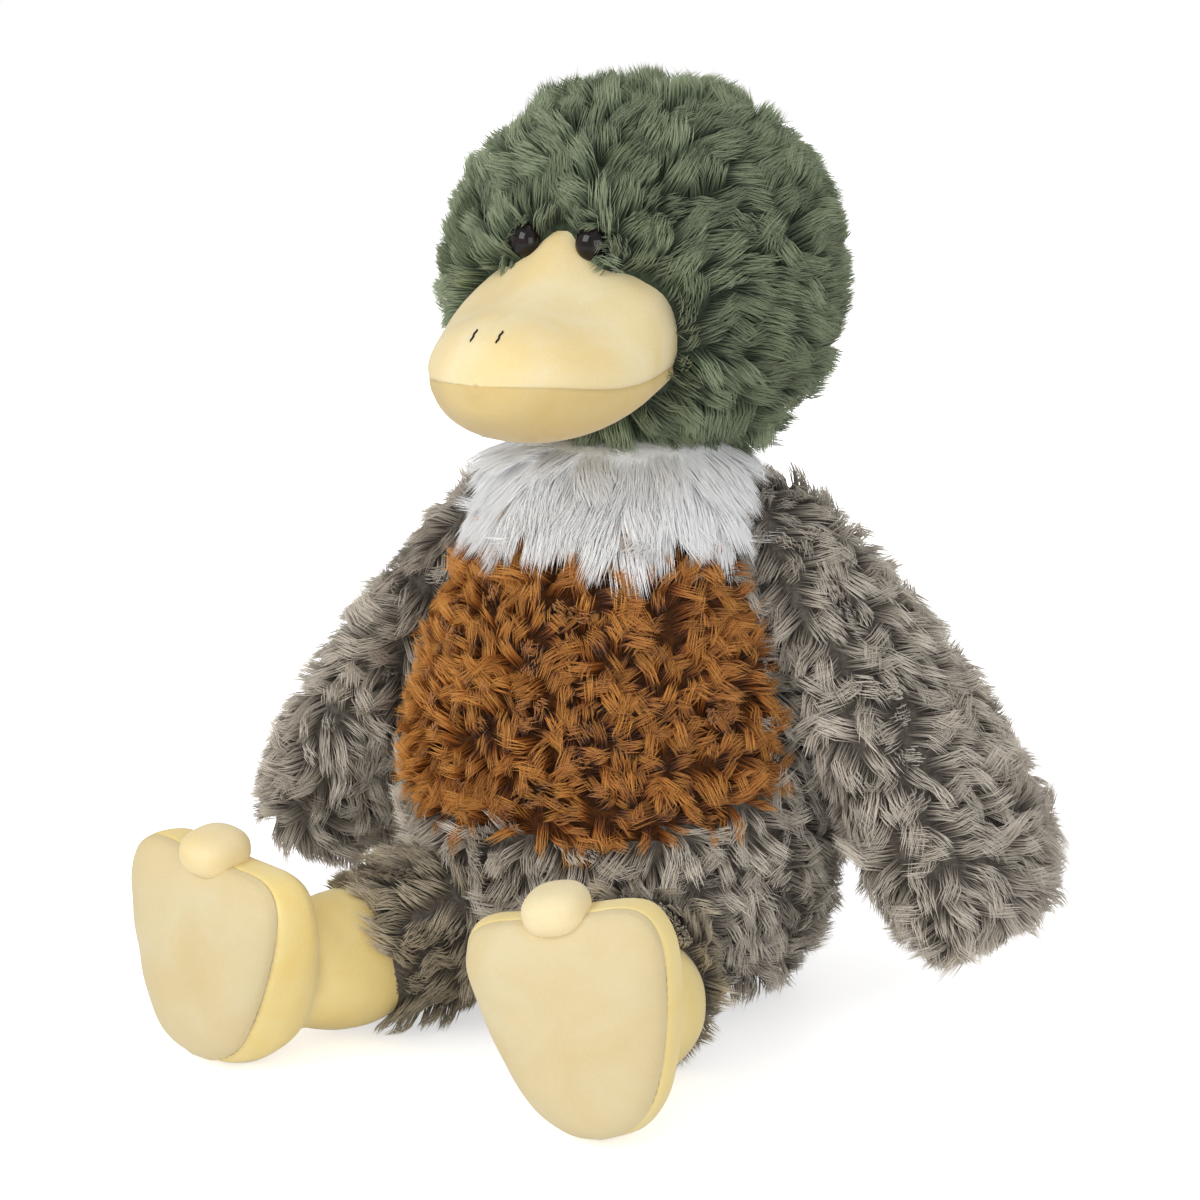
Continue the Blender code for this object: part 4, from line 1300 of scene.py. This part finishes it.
# mm: height, half width, half depth, forward
COLLAR_RINGS = (
    (168, 49.5, 48.5, 5.0),
    (179, 47.5, 46.5, 4.0),
    (190, 43.5, 42.5, 2.0),
    (201, 39.0, 38.5, 0.0),
    (207, 32.0, 32.0, -1.0),
)
collar_cloth = loft(
    "collar_cloth",
    [
        ring(UP * height * MM - BACK * forward * MM, ACROSS, BACK, wide * MM, deep * MM, ROUND_POINTS)
        for height, wide, deep, forward in COLLAR_RINGS
    ],
)
collar_cloth.data.materials.append(white_backing)
torso_piles["collar"] = grow_pile(
    "collar_pile",
    collar_cloth,
    white_yarn,
    lambda point, normal: float(abs(normal.z) < COLLAR_RIM and point.z < COLLAR_PILE_TOP),
    Strands=1500000.0,
    Tuft_Spacing=0.0070,
    Length=0.0215,
    Width=0.00040,
    Lift=0.3,
    Gather=0.0,
    Curl=0.2,
    Comb=1.8,
    Comb_From=(0.0, 0.0, 0.28),
    Swirl=0.2,
    Swirl_Size=0.03,
    Seed=24,
)

# %% [markdown]
# The neck is a short stuffed plug between the torso and the head. The collar's long pile hides it, until
# the head nods.

# %% Neck
# mm: height, radius
NECK_RINGS = ((186, 26), (196, 29), (208, 24))
neck_cloth = loft(
    "neck_cloth",
    [
        ring(UP * height * MM, ACROSS, BACK, radius * MM, radius * MM, ROUND_POINTS)
        for height, radius in NECK_RINGS
    ],
    steps=2,
)
neck_cloth.data.materials.append(white_backing)
print("neck cloth:", faces_of(neck_cloth), "triangles")

# %% [markdown]
# ## Tail
#
# The photograph doesn't show the back. A seated duck of this kind has a small pointed tail, which is a flat
# tapered bag low on the back.

# %% Tail
TAIL_LENGTH = 46 * MM
TAIL_WIDTH = 46 * MM
TAIL_THICKNESS = 26 * MM
TAIL_HEIGHT = 44 * MM
TAIL_RISE = math.radians(38)
TAIL_INSET = 14 * MM
TAIL_BARE = 6 * MM
# along, width, thickness
TAIL_SHARES = ((0.00, 0.80, 0.90), (0.35, 1.00, 1.00), (0.75, 0.76, 0.66), (1.00, 0.34, 0.30))


def tail_bag(name, depth):
    """A flat tapered bag that rises from the back."""
    along_axis = Vector((0, math.cos(TAIL_RISE), math.sin(TAIL_RISE)))
    up = Vector((0, -math.sin(TAIL_RISE), math.cos(TAIL_RISE)))
    root = Vector((0, TORSO_DEPTH / 2 - TAIL_INSET, TAIL_HEIGHT))
    rings = []
    for along, width, thick in TAIL_SHARES:
        centre = root + along_axis * (along * (TAIL_LENGTH - depth))
        halves = width * TAIL_WIDTH / 2 - depth / 2, thick * TAIL_THICKNESS / 2 - depth / 2
        rings.append(ring(centre, ACROSS, up, *halves, ROUND_POINTS))
    return loft(name, rings, steps=2)


tail_cloth = tail_bag("tail_cloth", 5 * MM)
tail_cloth.data.materials.append(taupe_backing)
tail_pile = grow_pile(
    "tail_pile",
    tail_cloth,
    taupe_yarn,
    lambda point, normal: float(point.y > TORSO_DEPTH / 2 - TAIL_BARE),
    Strands=800000.0,
    Tuft_Spacing=0.0060,
    Length=0.014,
    Width=0.00042,
    Lift=0.6,
    Gather=0.15,
    Curl=0.5,
    Comb=1.1,
    Comb_From=(0.0, 0.03, 0.02),
    Swirl=0.6,
    Swirl_Size=0.025,
    Seed=25,
)

# %% [markdown]
# ## Wings
#
# Each wing is a long teardrop bag, narrow at the shoulder and full at the tip, that hangs out from the body.

# %% Wings
WING_LENGTH = 186 * MM
WING_WIDTH = 104 * MM
WING_THICKNESS = 62 * MM
WING_FLARE = math.radians(29.5)
WING_TOP_OUT = 50.5 * MM
WING_TOP_HEIGHT = 191.5 * MM
WING_SET_BACK = 17 * MM
WING_SWEEP = 8 * MM
# along, width, thickness, back, mm towards the neck
WING_SHARES = (
    (-0.01, 0.34, 0.30, 0.0, 8),
    (0.05, 0.48, 0.46, 0.0, 5),
    (0.18, 0.61, 0.58, 0.0, 1),
    (0.42, 0.87, 0.81, 0.2, 0),
    (0.70, 1.05, 1.06, 0.3, 0),
    (0.92, 0.92, 0.96, 0.2, 0),
    (1.00, 0.58, 0.60, 0.1, 0),
)


def wing_axes(side):
    """A wing's top, and its outward direction."""
    top = Vector((side * WING_TOP_OUT, WING_SET_BACK, WING_TOP_HEIGHT))
    return top, Vector((side * math.cos(WING_FLARE), 0, math.sin(WING_FLARE)))


def wing_bag(name, side, depth):
    """A hanging teardrop, a stated depth inside its outline."""
    top, out = wing_axes(side)
    down = Vector((side * math.sin(WING_FLARE), 0, -math.cos(WING_FLARE)))
    rings = []
    for along, width, thick, back, inward in WING_SHARES:
        centre = top + down * (along * WING_LENGTH) + BACK * (back * WING_SWEEP) - out * (inward * MM)
        halves = width * WING_WIDTH / 2, thick * WING_THICKNESS / 2
        rings.append(ring(centre, BACK, out, *halves, ROUND_POINTS))
    bag = loft(name, rings)
    shrink(bag, depth)
    return bag


def wing_half(point, side, face_side):
    """Whether a point is on the outer or the inner cover of a wing."""
    top, out = wing_axes(side)
    return float((point - top).dot(out) * face_side > 0)


wing_cloths = {}
wing_piles = {}
for side_name, side in SIDES.items():
    cloth = wing_bag("wing_cloth_" + side_name, side, PILE_DEPTH)
    cloth.data.materials.append(taupe_backing)
    wing_cloths[side_name] = cloth
    for face_name, face_side in (("outer", 1), ("inner", -1)):
        wing_piles[face_name + "_" + side_name] = grow_pile(
            "wing_pile_" + face_name + "_" + side_name,
            cloth,
            taupe_yarn,
            lambda point, normal, side=side, face_side=face_side: wing_half(point, side, face_side),
            Strands=740000.0,
            Tuft_Spacing=0.0044,
            Length=0.0140,
            Width=0.00040,
            Lift=0.85,
            Gather=0.15,
            Curl=0.7,
            Comb=0.6,
            Comb_From=(side * 0.03, 0.0, 0.3),
            Swirl=1.2,
            Swirl_Size=0.024,
            Seed=30 + side,
        )

# %% [markdown]
# ## Legs
#
# A leg is a short stuffed tube with a rounded root in the torso and a rounded end at the ankle.

# %% Legs
LEG_RADIUS = 30 * MM
LEG_LENGTH = {"left": 23 * MM, "right": 32 * MM}
LEG_FLOOR = 1 * MM
LEG_END = 3 * MM
# shares of the hip's radius: along from the hip, and round
LEG_ROOT_SHARES = ((-0.90, 0.50), (-0.46, 0.94), (0.10, 1.02))
# steps of the leg's end from the ankle, and shares of the leg's radius
LEG_END_SHARES = ((-1, 1.0), (1, 0.9))
LEG_PILE_START = -8 * MM
LEG_LOOKS_AHEAD = 0.8
LEG_LOOKS_DOWN = -0.9
LEG_COMB_BEHIND = 50 * MM
ANKLE_HEIGHT = 27 * MM


def ankle(name):
    """Where a foot hinges on its leg."""
    return heading(SIDES[name] * LEG_SPLAY[name]) * (HIP_REACH + LEG_LENGTH[name]) + UP * ANKLE_HEIGHT


def leg_bag(name, depth):
    """A short tube with rounded ends."""
    start = hip(name)
    end = ankle(name)
    along = (end - start).normalized()
    across = along.cross(UP).normalized()
    up = across.cross(along)
    rings = []
    for reach, size in LEG_ROOT_SHARES:
        radius = size * HIP_RADIUS
        rings.append(ring(start + along * (reach * HIP_RADIUS), across, up, radius, radius, ROUND_POINTS))
    for reach, size in LEG_END_SHARES:
        radius = size * LEG_RADIUS
        rings.append(ring(end + along * (reach * LEG_END), across, up, radius, radius, ROUND_POINTS))
    bag = loft("leg_cloth_" + name, rings)
    shrink(bag, depth)
    flatten_below(bag, LEG_FLOOR)
    return bag


def leg_region(point, normal, name):
    """A leg grows pile outside the torso, and not on its underside nor its end."""
    start = hip(name)
    along = (ankle(name) - start).normalized()
    reach = (point - start).dot(along)
    ahead = normal.dot(along)
    return float(reach > LEG_PILE_START and ahead < LEG_LOOKS_AHEAD and normal.z > LEG_LOOKS_DOWN)


leg_cloths = {}
leg_piles = {}
for side_name, side in SIDES.items():
    cloth = leg_bag(side_name, 6 * MM)
    cloth.data.materials.append(taupe_backing)
    leg_cloths[side_name] = cloth
    leg_piles[side_name] = grow_pile(
        "leg_pile_" + side_name,
        cloth,
        tan_yarn,
        lambda point, normal, name=side_name: leg_region(point, normal, name),
        Strands=800000.0,
        Tuft_Spacing=0.0060,
        Length=0.0135,
        Width=0.00042,
        Lift=0.75,
        Gather=0.3,
        Curl=0.4,
        Comb=1.0,
        Comb_From=tuple(hip(side_name) - heading(side * LEG_SPLAY[side_name]) * LEG_COMB_BEHIND),
        Swirl=0.9,
        Swirl_Size=0.025,
        Seed=40 + side,
    )

# %% [markdown]
# ## Feet
#
# A foot stands on its heel. Its velour upper swells from the ankle into a round pad, and the paler sole
# closes the pad in front, sewn on along a seam. The outline is a shield: narrow at the heel, wide and nearly
# flat on top, with rounded corners for the side toes. Both pads are skins over dense sections, so that the
# seam can be drawn in as a crease, which fades out over the toes.

# %% Foot outline
FOOT_YAW = {"left": math.radians(12.5), "right": math.radians(25)}
SOLE_YAW = {"left": math.radians(9), "right": math.radians(11)}
FOOT_ROLL = {"left": math.radians(12), "right": math.radians(8)}
FOOT_HEIGHT = 78 * MM
FOOT_WIDTH = 68 * MM
CUFF_RADIUS = 22 * MM
SOLE_SEAM = 60 * MM
FOOT_POINTS = 120
# how high up the shield a dip still shows, and over what height it fades
DIP_TOP = 0.85
DIP_FADE = 0.4
# way from the heel to the middle of the top, then across and up as shares
SHIELD_TABLE = (
    (0.00, 0.00, -1.00),
    (0.12, 0.30, -0.95),
    (0.25, 0.57, -0.75),
    (0.38, 0.76, -0.42),
    (0.50, 0.89, -0.06),
    (0.62, 0.98, 0.30),
    (0.72, 1.01, 0.58),
    (0.80, 0.96, 0.80),
    (0.86, 0.84, 0.935),
    (0.91, 0.64, 0.985),
    (0.955, 0.38, 0.975),
    (1.00, 0.00, 0.955),
)


def foot_axes(name):
    """The foot's forward, sideways and upward directions."""
    side = SIDES[name]
    forward = heading(side * FOOT_YAW[name])
    up = Matrix.Rotation(side * FOOT_ROLL[name], 3, forward) @ UP
    return forward, forward.cross(up).normalized(), up


def sole_axes(name):
    """The sole's own forward and sideways directions."""
    _, _, up = foot_axes(name)
    forward = heading(SIDES[name] * SOLE_YAW[name])
    across = forward.cross(up).normalized()
    return up.cross(across), across


def shield_point(spot):
    """A point of the sole's outline, for a spot from 0 to 1 that starts at the heel."""
    way = 1 - abs(1 - 2 * spot)
    across, high = along_table(SHIELD_TABLE, way)
    return (across if spot < 0.5 else -across), high


def foot_section(name, forward_by, blend, size, lift, dip=0.0):
    """One section of a foot: a round tube where blend is 0, and the shield where it is 1.

    A dip draws the section in all round, and fades out towards the toes.
    """
    forward, foot_across, up = foot_axes(name)
    _, sole_across = sole_axes(name)
    centre = ankle(name) + forward * forward_by + up * ((FOOT_HEIGHT / 2 - ANKLE_HEIGHT) * blend + lift)
    across = foot_across.lerp(sole_across, blend).normalized()
    points = []
    for step in range(FOOT_POINTS):
        spot = step / FOOT_POINTS
        x, y = shield_point(spot)
        turn = math.tau * spot
        wide = (1 - blend) * CUFF_RADIUS * math.sin(turn) + blend * FOOT_WIDTH / 2 * x
        tall = -(1 - blend) * CUFF_RADIUS * math.cos(turn) + blend * FOOT_HEIGHT / 2 * y
        tight = size - dip * clamp((DIP_TOP - y) / DIP_FADE)
        points.append(centre + across * (wide * tight) + up * (tall * tight))
    return points


print("sole outline's widest point:", [round(value, 2) for value in shield_point(0.36)])

# %% Foot pads
# mm forward of the ankle, blend from tube to shield, size, and mm of lift
UPPER_TABLE = (
    (-18.0, 0.00, 0.66, 0.0),
    (-11.0, 0.00, 0.96, 0.0),
    (-1.0, 0.00, 1.10, 0.0),
    (9.0, 0.00, 1.09, 0.0),
    (18.0, 0.02, 1.00, 0.0),
    (25.0, 0.07, 0.90, 0.0),
    (30.0, 0.24, 0.89, 0.0),
    (36.0, 0.58, 0.96, 0.0),
    (42.0, 0.84, 0.99, 0.0),
    (48.0, 0.97, 1.01, 0.2),
    (53.0, 1.00, 1.00, 0.8),
    (57.0, 1.00, 0.983, 1.5),
    (59.0, 1.00, 0.970, 1.9),
    (59.8, 1.00, 0.964, 2.0),
)
SOLE_TABLE = (
    (60.2, 1.00, 0.961, 2.0),
    (61.4, 1.00, 0.954, 2.0),
    (63.5, 1.00, 0.930, 2.0),
    (66.0, 1.00, 0.845, 2.0),
    (68.3, 1.00, 0.67, 2.0),
    (69.8, 1.00, 0.40, 2.0),
    (70.4, 1.00, 0.08, 2.0),
)
# the seam lies 60 mm forward: how far it draws the pads in, and over how many mm
SEAM_DIP = 0.022
SEAM_DIP_WIDTH = 1.3
CLOTH_RIPPLE = 0.5 * MM
RIPPLE_SIZE = 13 * MM
FOOT_FLOOR = 0.2 * MM
UPPER_STEPS = 70
SOLE_STEPS = 24


def foot_pad(label, table, steps):
    """A foot's upper or sole, as a skin with the slight unevenness of stuffed cloth."""
    name = label.rsplit("_", 1)[1]
    first, last = table[0][0], table[-1][0]
    rings = []
    for step in range(steps + 1):
        forward_by = first + (last - first) * step / steps
        blend, size, lift = along_table(table, forward_by)
        dip = SEAM_DIP * math.exp(-(((forward_by - SOLE_SEAM / MM) / SEAM_DIP_WIDTH) ** 2))
        rings.append(foot_section(name, forward_by * MM, clamp(blend), size, lift * MM, dip))
    pad = skin(label, rings)
    normals = [vertex.normal.copy() for vertex in pad.data.vertices]
    for vertex, normal in zip(pad.data.vertices, normals):
        vertex.co += normal * (CLOTH_RIPPLE * noise.noise(vertex.co / RIPPLE_SIZE))
    flatten_below(pad, FOOT_FLOOR)
    return pad


foot_uppers = {}
foot_soles = {}
for side_name in SIDES:
    foot_uppers[side_name] = foot_pad("foot_upper_pad_" + side_name, UPPER_TABLE, UPPER_STEPS)
    foot_uppers[side_name].data.materials.append(foot_velour)
    foot_soles[side_name] = foot_pad("foot_sole_pad_" + side_name, SOLE_TABLE, SOLE_STEPS)
    foot_soles[side_name].data.materials.append(sole_velour)
print("feet:", faces_of(foot_uppers["left"]) + faces_of(foot_soles["left"]), "triangles each")

# %% [markdown]
# The middle toe is a small stuffed bolster that bends forward over the top of the sole.

# %% Middle toes
TOE_HALF_WIDTH = 10.6 * MM
TOE_HALF_HEIGHT = 7.5 * MM
TOE_HALF_LENGTH = 11.5 * MM
TOE_LEAN = math.radians(6)
TOE_LIFT = 3.0 * MM
TOE_FORWARD = 58 * MM
# 2 is a ball, more is closer to a box
TOE_BLUNTNESS = 2.5
toe_nubs = {}
for side_name in SIDES:
    forward, _, up = foot_axes(side_name)
    facing, across = sole_axes(side_name)
    _, valley = shield_point(0.5)
    rise = FOOT_HEIGHT / 2 * (1 + valley) - ANKLE_HEIGHT + TOE_LIFT
    centre = ankle(side_name) + up * rise + forward * TOE_FORWARD
    shape = bmesh.new()
    bmesh.ops.create_uvsphere(shape, u_segments=48, v_segments=32, radius=1)
    for vertex in shape.verts:
        x, y, z = vertex.co
        blunt = 1 / sum(abs(part) ** TOE_BLUNTNESS for part in (x, y, z)) ** (1 / TOE_BLUNTNESS)
        vertex.co = Vector((x * TOE_HALF_WIDTH, y * TOE_HALF_HEIGHT, z * TOE_HALF_LENGTH)) * blunt
    turn = Matrix((across, up, facing)).transposed().to_4x4()
    place = Matrix.Translation(centre) @ turn @ Matrix.Rotation(TOE_LEAN, 4, "X")
    bmesh.ops.transform(shape, verts=shape.verts, matrix=place)
    bmesh.ops.recalc_face_normals(shape, faces=shape.faces)
    nub = plain_object("toe_nub_" + side_name, shape)
    nub.data.shade_smooth()
    nub.data.materials.append(bill_velour)
    toe_nubs[side_name] = nub
print("middle toes:", faces_of(toe_nubs["left"]), "triangles each")

# %% [markdown]
# The sole is sewn on with a short running stitch. A Geometry Nodes tree lays the stitches: it resamples the
# seam's path to one point per stitch and puts a small bead of thread along it at each.

# %% Stitches
# the stitches lie on the seam's section, drawn in to this size
STITCH_RING = 0.947
STITCH_LIFT = 2 * MM


def build_stitch_tree():
    """Path in, stitches out."""
    tree = bpy.data.node_groups.new("stitches", "GeometryNodeTree")
    for name, kind, first in (
        ("Path", "NodeSocketGeometry", None),
        ("Pitch", "NodeSocketFloat", 0.0032),
        ("Stitch Length", "NodeSocketFloat", 0.0022),
        ("Thread Radius", "NodeSocketFloat", 0.0003),
        ("Thread", "NodeSocketMaterial", None),
    ):
        socket = tree.interface.new_socket(name, in_out="INPUT", socket_type=kind)
        if first is not None:
            socket.default_value = first
    tree.interface.new_socket("Stitches", in_out="OUTPUT", socket_type="NodeSocketGeometry")
    w = Wiring(tree)
    given = w.add("NodeGroupInput").outputs
    path = w.add("GeometryNodeMeshToCurve", {"Mesh": given["Path"]}).outputs[0]
    spacing = {"Curve": path, "Length": given["Pitch"]}
    even = w.add("GeometryNodeResampleCurve", spacing, mode="LENGTH").outputs[0]
    along = w.add("GeometryNodeInputTangent").outputs[0]
    turn = w.add("FunctionNodeAlignRotationToVector", {"Vector": along}, axis="Z").outputs[0]
    bead = w.add("GeometryNodeMeshUVSphere", {"Segments": 6, "Rings": 5, "Radius": 1.0}).outputs["Mesh"]
    half = w.number("MULTIPLY", given["Stitch Length"], 0.5)
    thin = given["Thread Radius"]
    size = w.add("ShaderNodeCombineXYZ", {"X": thin, "Y": thin, "Z": half}).outputs[0]
    row = {"Points": even, "Instance": bead, "Rotation": turn, "Scale": size}
    laid = w.add("GeometryNodeInstanceOnPoints", row).outputs[0]
    real = w.add("GeometryNodeRealizeInstances", {"Geometry": laid}).outputs[0]
    smooth = w.add("GeometryNodeSetShadeSmooth", {"Geometry": real}).outputs[0]
    dyed = w.add("GeometryNodeSetMaterial", {"Geometry": smooth, "Material": given["Thread"]}).outputs[0]
    w.add("NodeGroupOutput", {"Stitches": dyed})
    return tree


def sew(name, path, thread):
    """Stitches round a closed path of points, as one plain mesh."""
    mesh = bpy.data.meshes.new(name)
    edges = [(step, (step + 1) % len(path)) for step in range(len(path))]
    mesh.from_pydata(path, edges, [])
    row = bpy.data.objects.new(name, mesh)
    rest_scene.objects.link(row)
    sewer = row.modifiers.new("stitches", "NODES")
    sewer.node_group = stitch_tree
    sewer[named_inputs(stitch_tree)["Thread"]] = thread
    return settle(row)


stitch_tree = build_stitch_tree()
cream_thread = make_thread("cream_thread", (0.90, 0.74, 0.42), 0.85)
sole_stitches = {}
for side_name in SIDES:
    path = foot_section(side_name, SOLE_SEAM, 1.0, STITCH_RING, STITCH_LIFT)
    sole_stitches[side_name] = sew("sole_stitches_" + side_name, path, cream_thread)
    print(sole_stitches[side_name].name, faces_of(sole_stitches[side_name]), "triangles")

# %% [markdown]
# ## Joining the frame
#
# Every piece rides on the body that carries it, and stands for the plain solids of the frame that it covers.

# %% Head and bill
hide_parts("head_stuffing")
for side_name in SIDES:
    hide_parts("head_cover_" + side_name)
    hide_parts("eye_" + side_name)
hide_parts("upper_bill", "bill_stuffing")
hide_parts("lower_bill")
head_parts = [head_cloth]
for group in (head_piles, bill_pads, eyes, brows, nostrils):
    head_parts += group.values()
for thing in head_parts:
    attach(thing, "head")
print("on the head:", len(head_parts), "pieces")

# %% Torso, tail and neck
NODE_OF_PANEL = {
    "chest": "chest_panel",
    "belly": "belly_panel",
    "collar": "collar",
    "back_left": "back_panel_left",
    "back_right": "back_panel_right",
}
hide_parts("base_panel", "torso_stuffing", "bean_bag")
for panel, node in NODE_OF_PANEL.items():
    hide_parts(node)
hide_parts("tail")
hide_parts("neck_stuffing")
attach(neck_cloth, "neck")
for thing in (torso_cloth, collar_cloth, tail_cloth, tail_pile, *torso_piles.values()):
    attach(thing, "torso")
print("on the torso:", 4 + len(torso_piles), "pieces")

# %% Wings, legs and feet
for side_name in SIDES:
    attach(wing_cloths[side_name], "wing_" + side_name)
    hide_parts("wing_stuffing_" + side_name)
    for face_name in ("outer", "inner"):
        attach(wing_piles[face_name + "_" + side_name], "wing_" + side_name)
        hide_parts("wing_" + face_name + "_" + side_name)
    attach(leg_cloths[side_name], "leg_" + side_name)
    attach(leg_piles[side_name], "leg_" + side_name)
    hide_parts("leg_stuffing_" + side_name)
    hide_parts("leg_cover_" + side_name)
    for group in (foot_uppers, foot_soles, toe_nubs, sole_stitches):
        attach(group[side_name], "foot_" + side_name)
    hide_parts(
        "ankle_cuff_" + side_name,
        "foot_upper_" + side_name,
        "foot_stuffing_" + side_name,
    )
    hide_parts("foot_sole_" + side_name)
    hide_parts("middle_toe_" + side_name)
print("limbs joined:", ", ".join(SIDES))

# %% [markdown]
# The stuffed pieces are gathered in a list.

# %% Stuffed pieces
for side_name in SIDES:
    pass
padded = [head_cloth, neck_cloth, torso_cloth, collar_cloth, tail_cloth]
for group in (wing_cloths, leg_cloths, bill_pads, foot_uppers, foot_soles, toe_nubs):
    padded += group.values()
print("padded pieces:", len(padded))
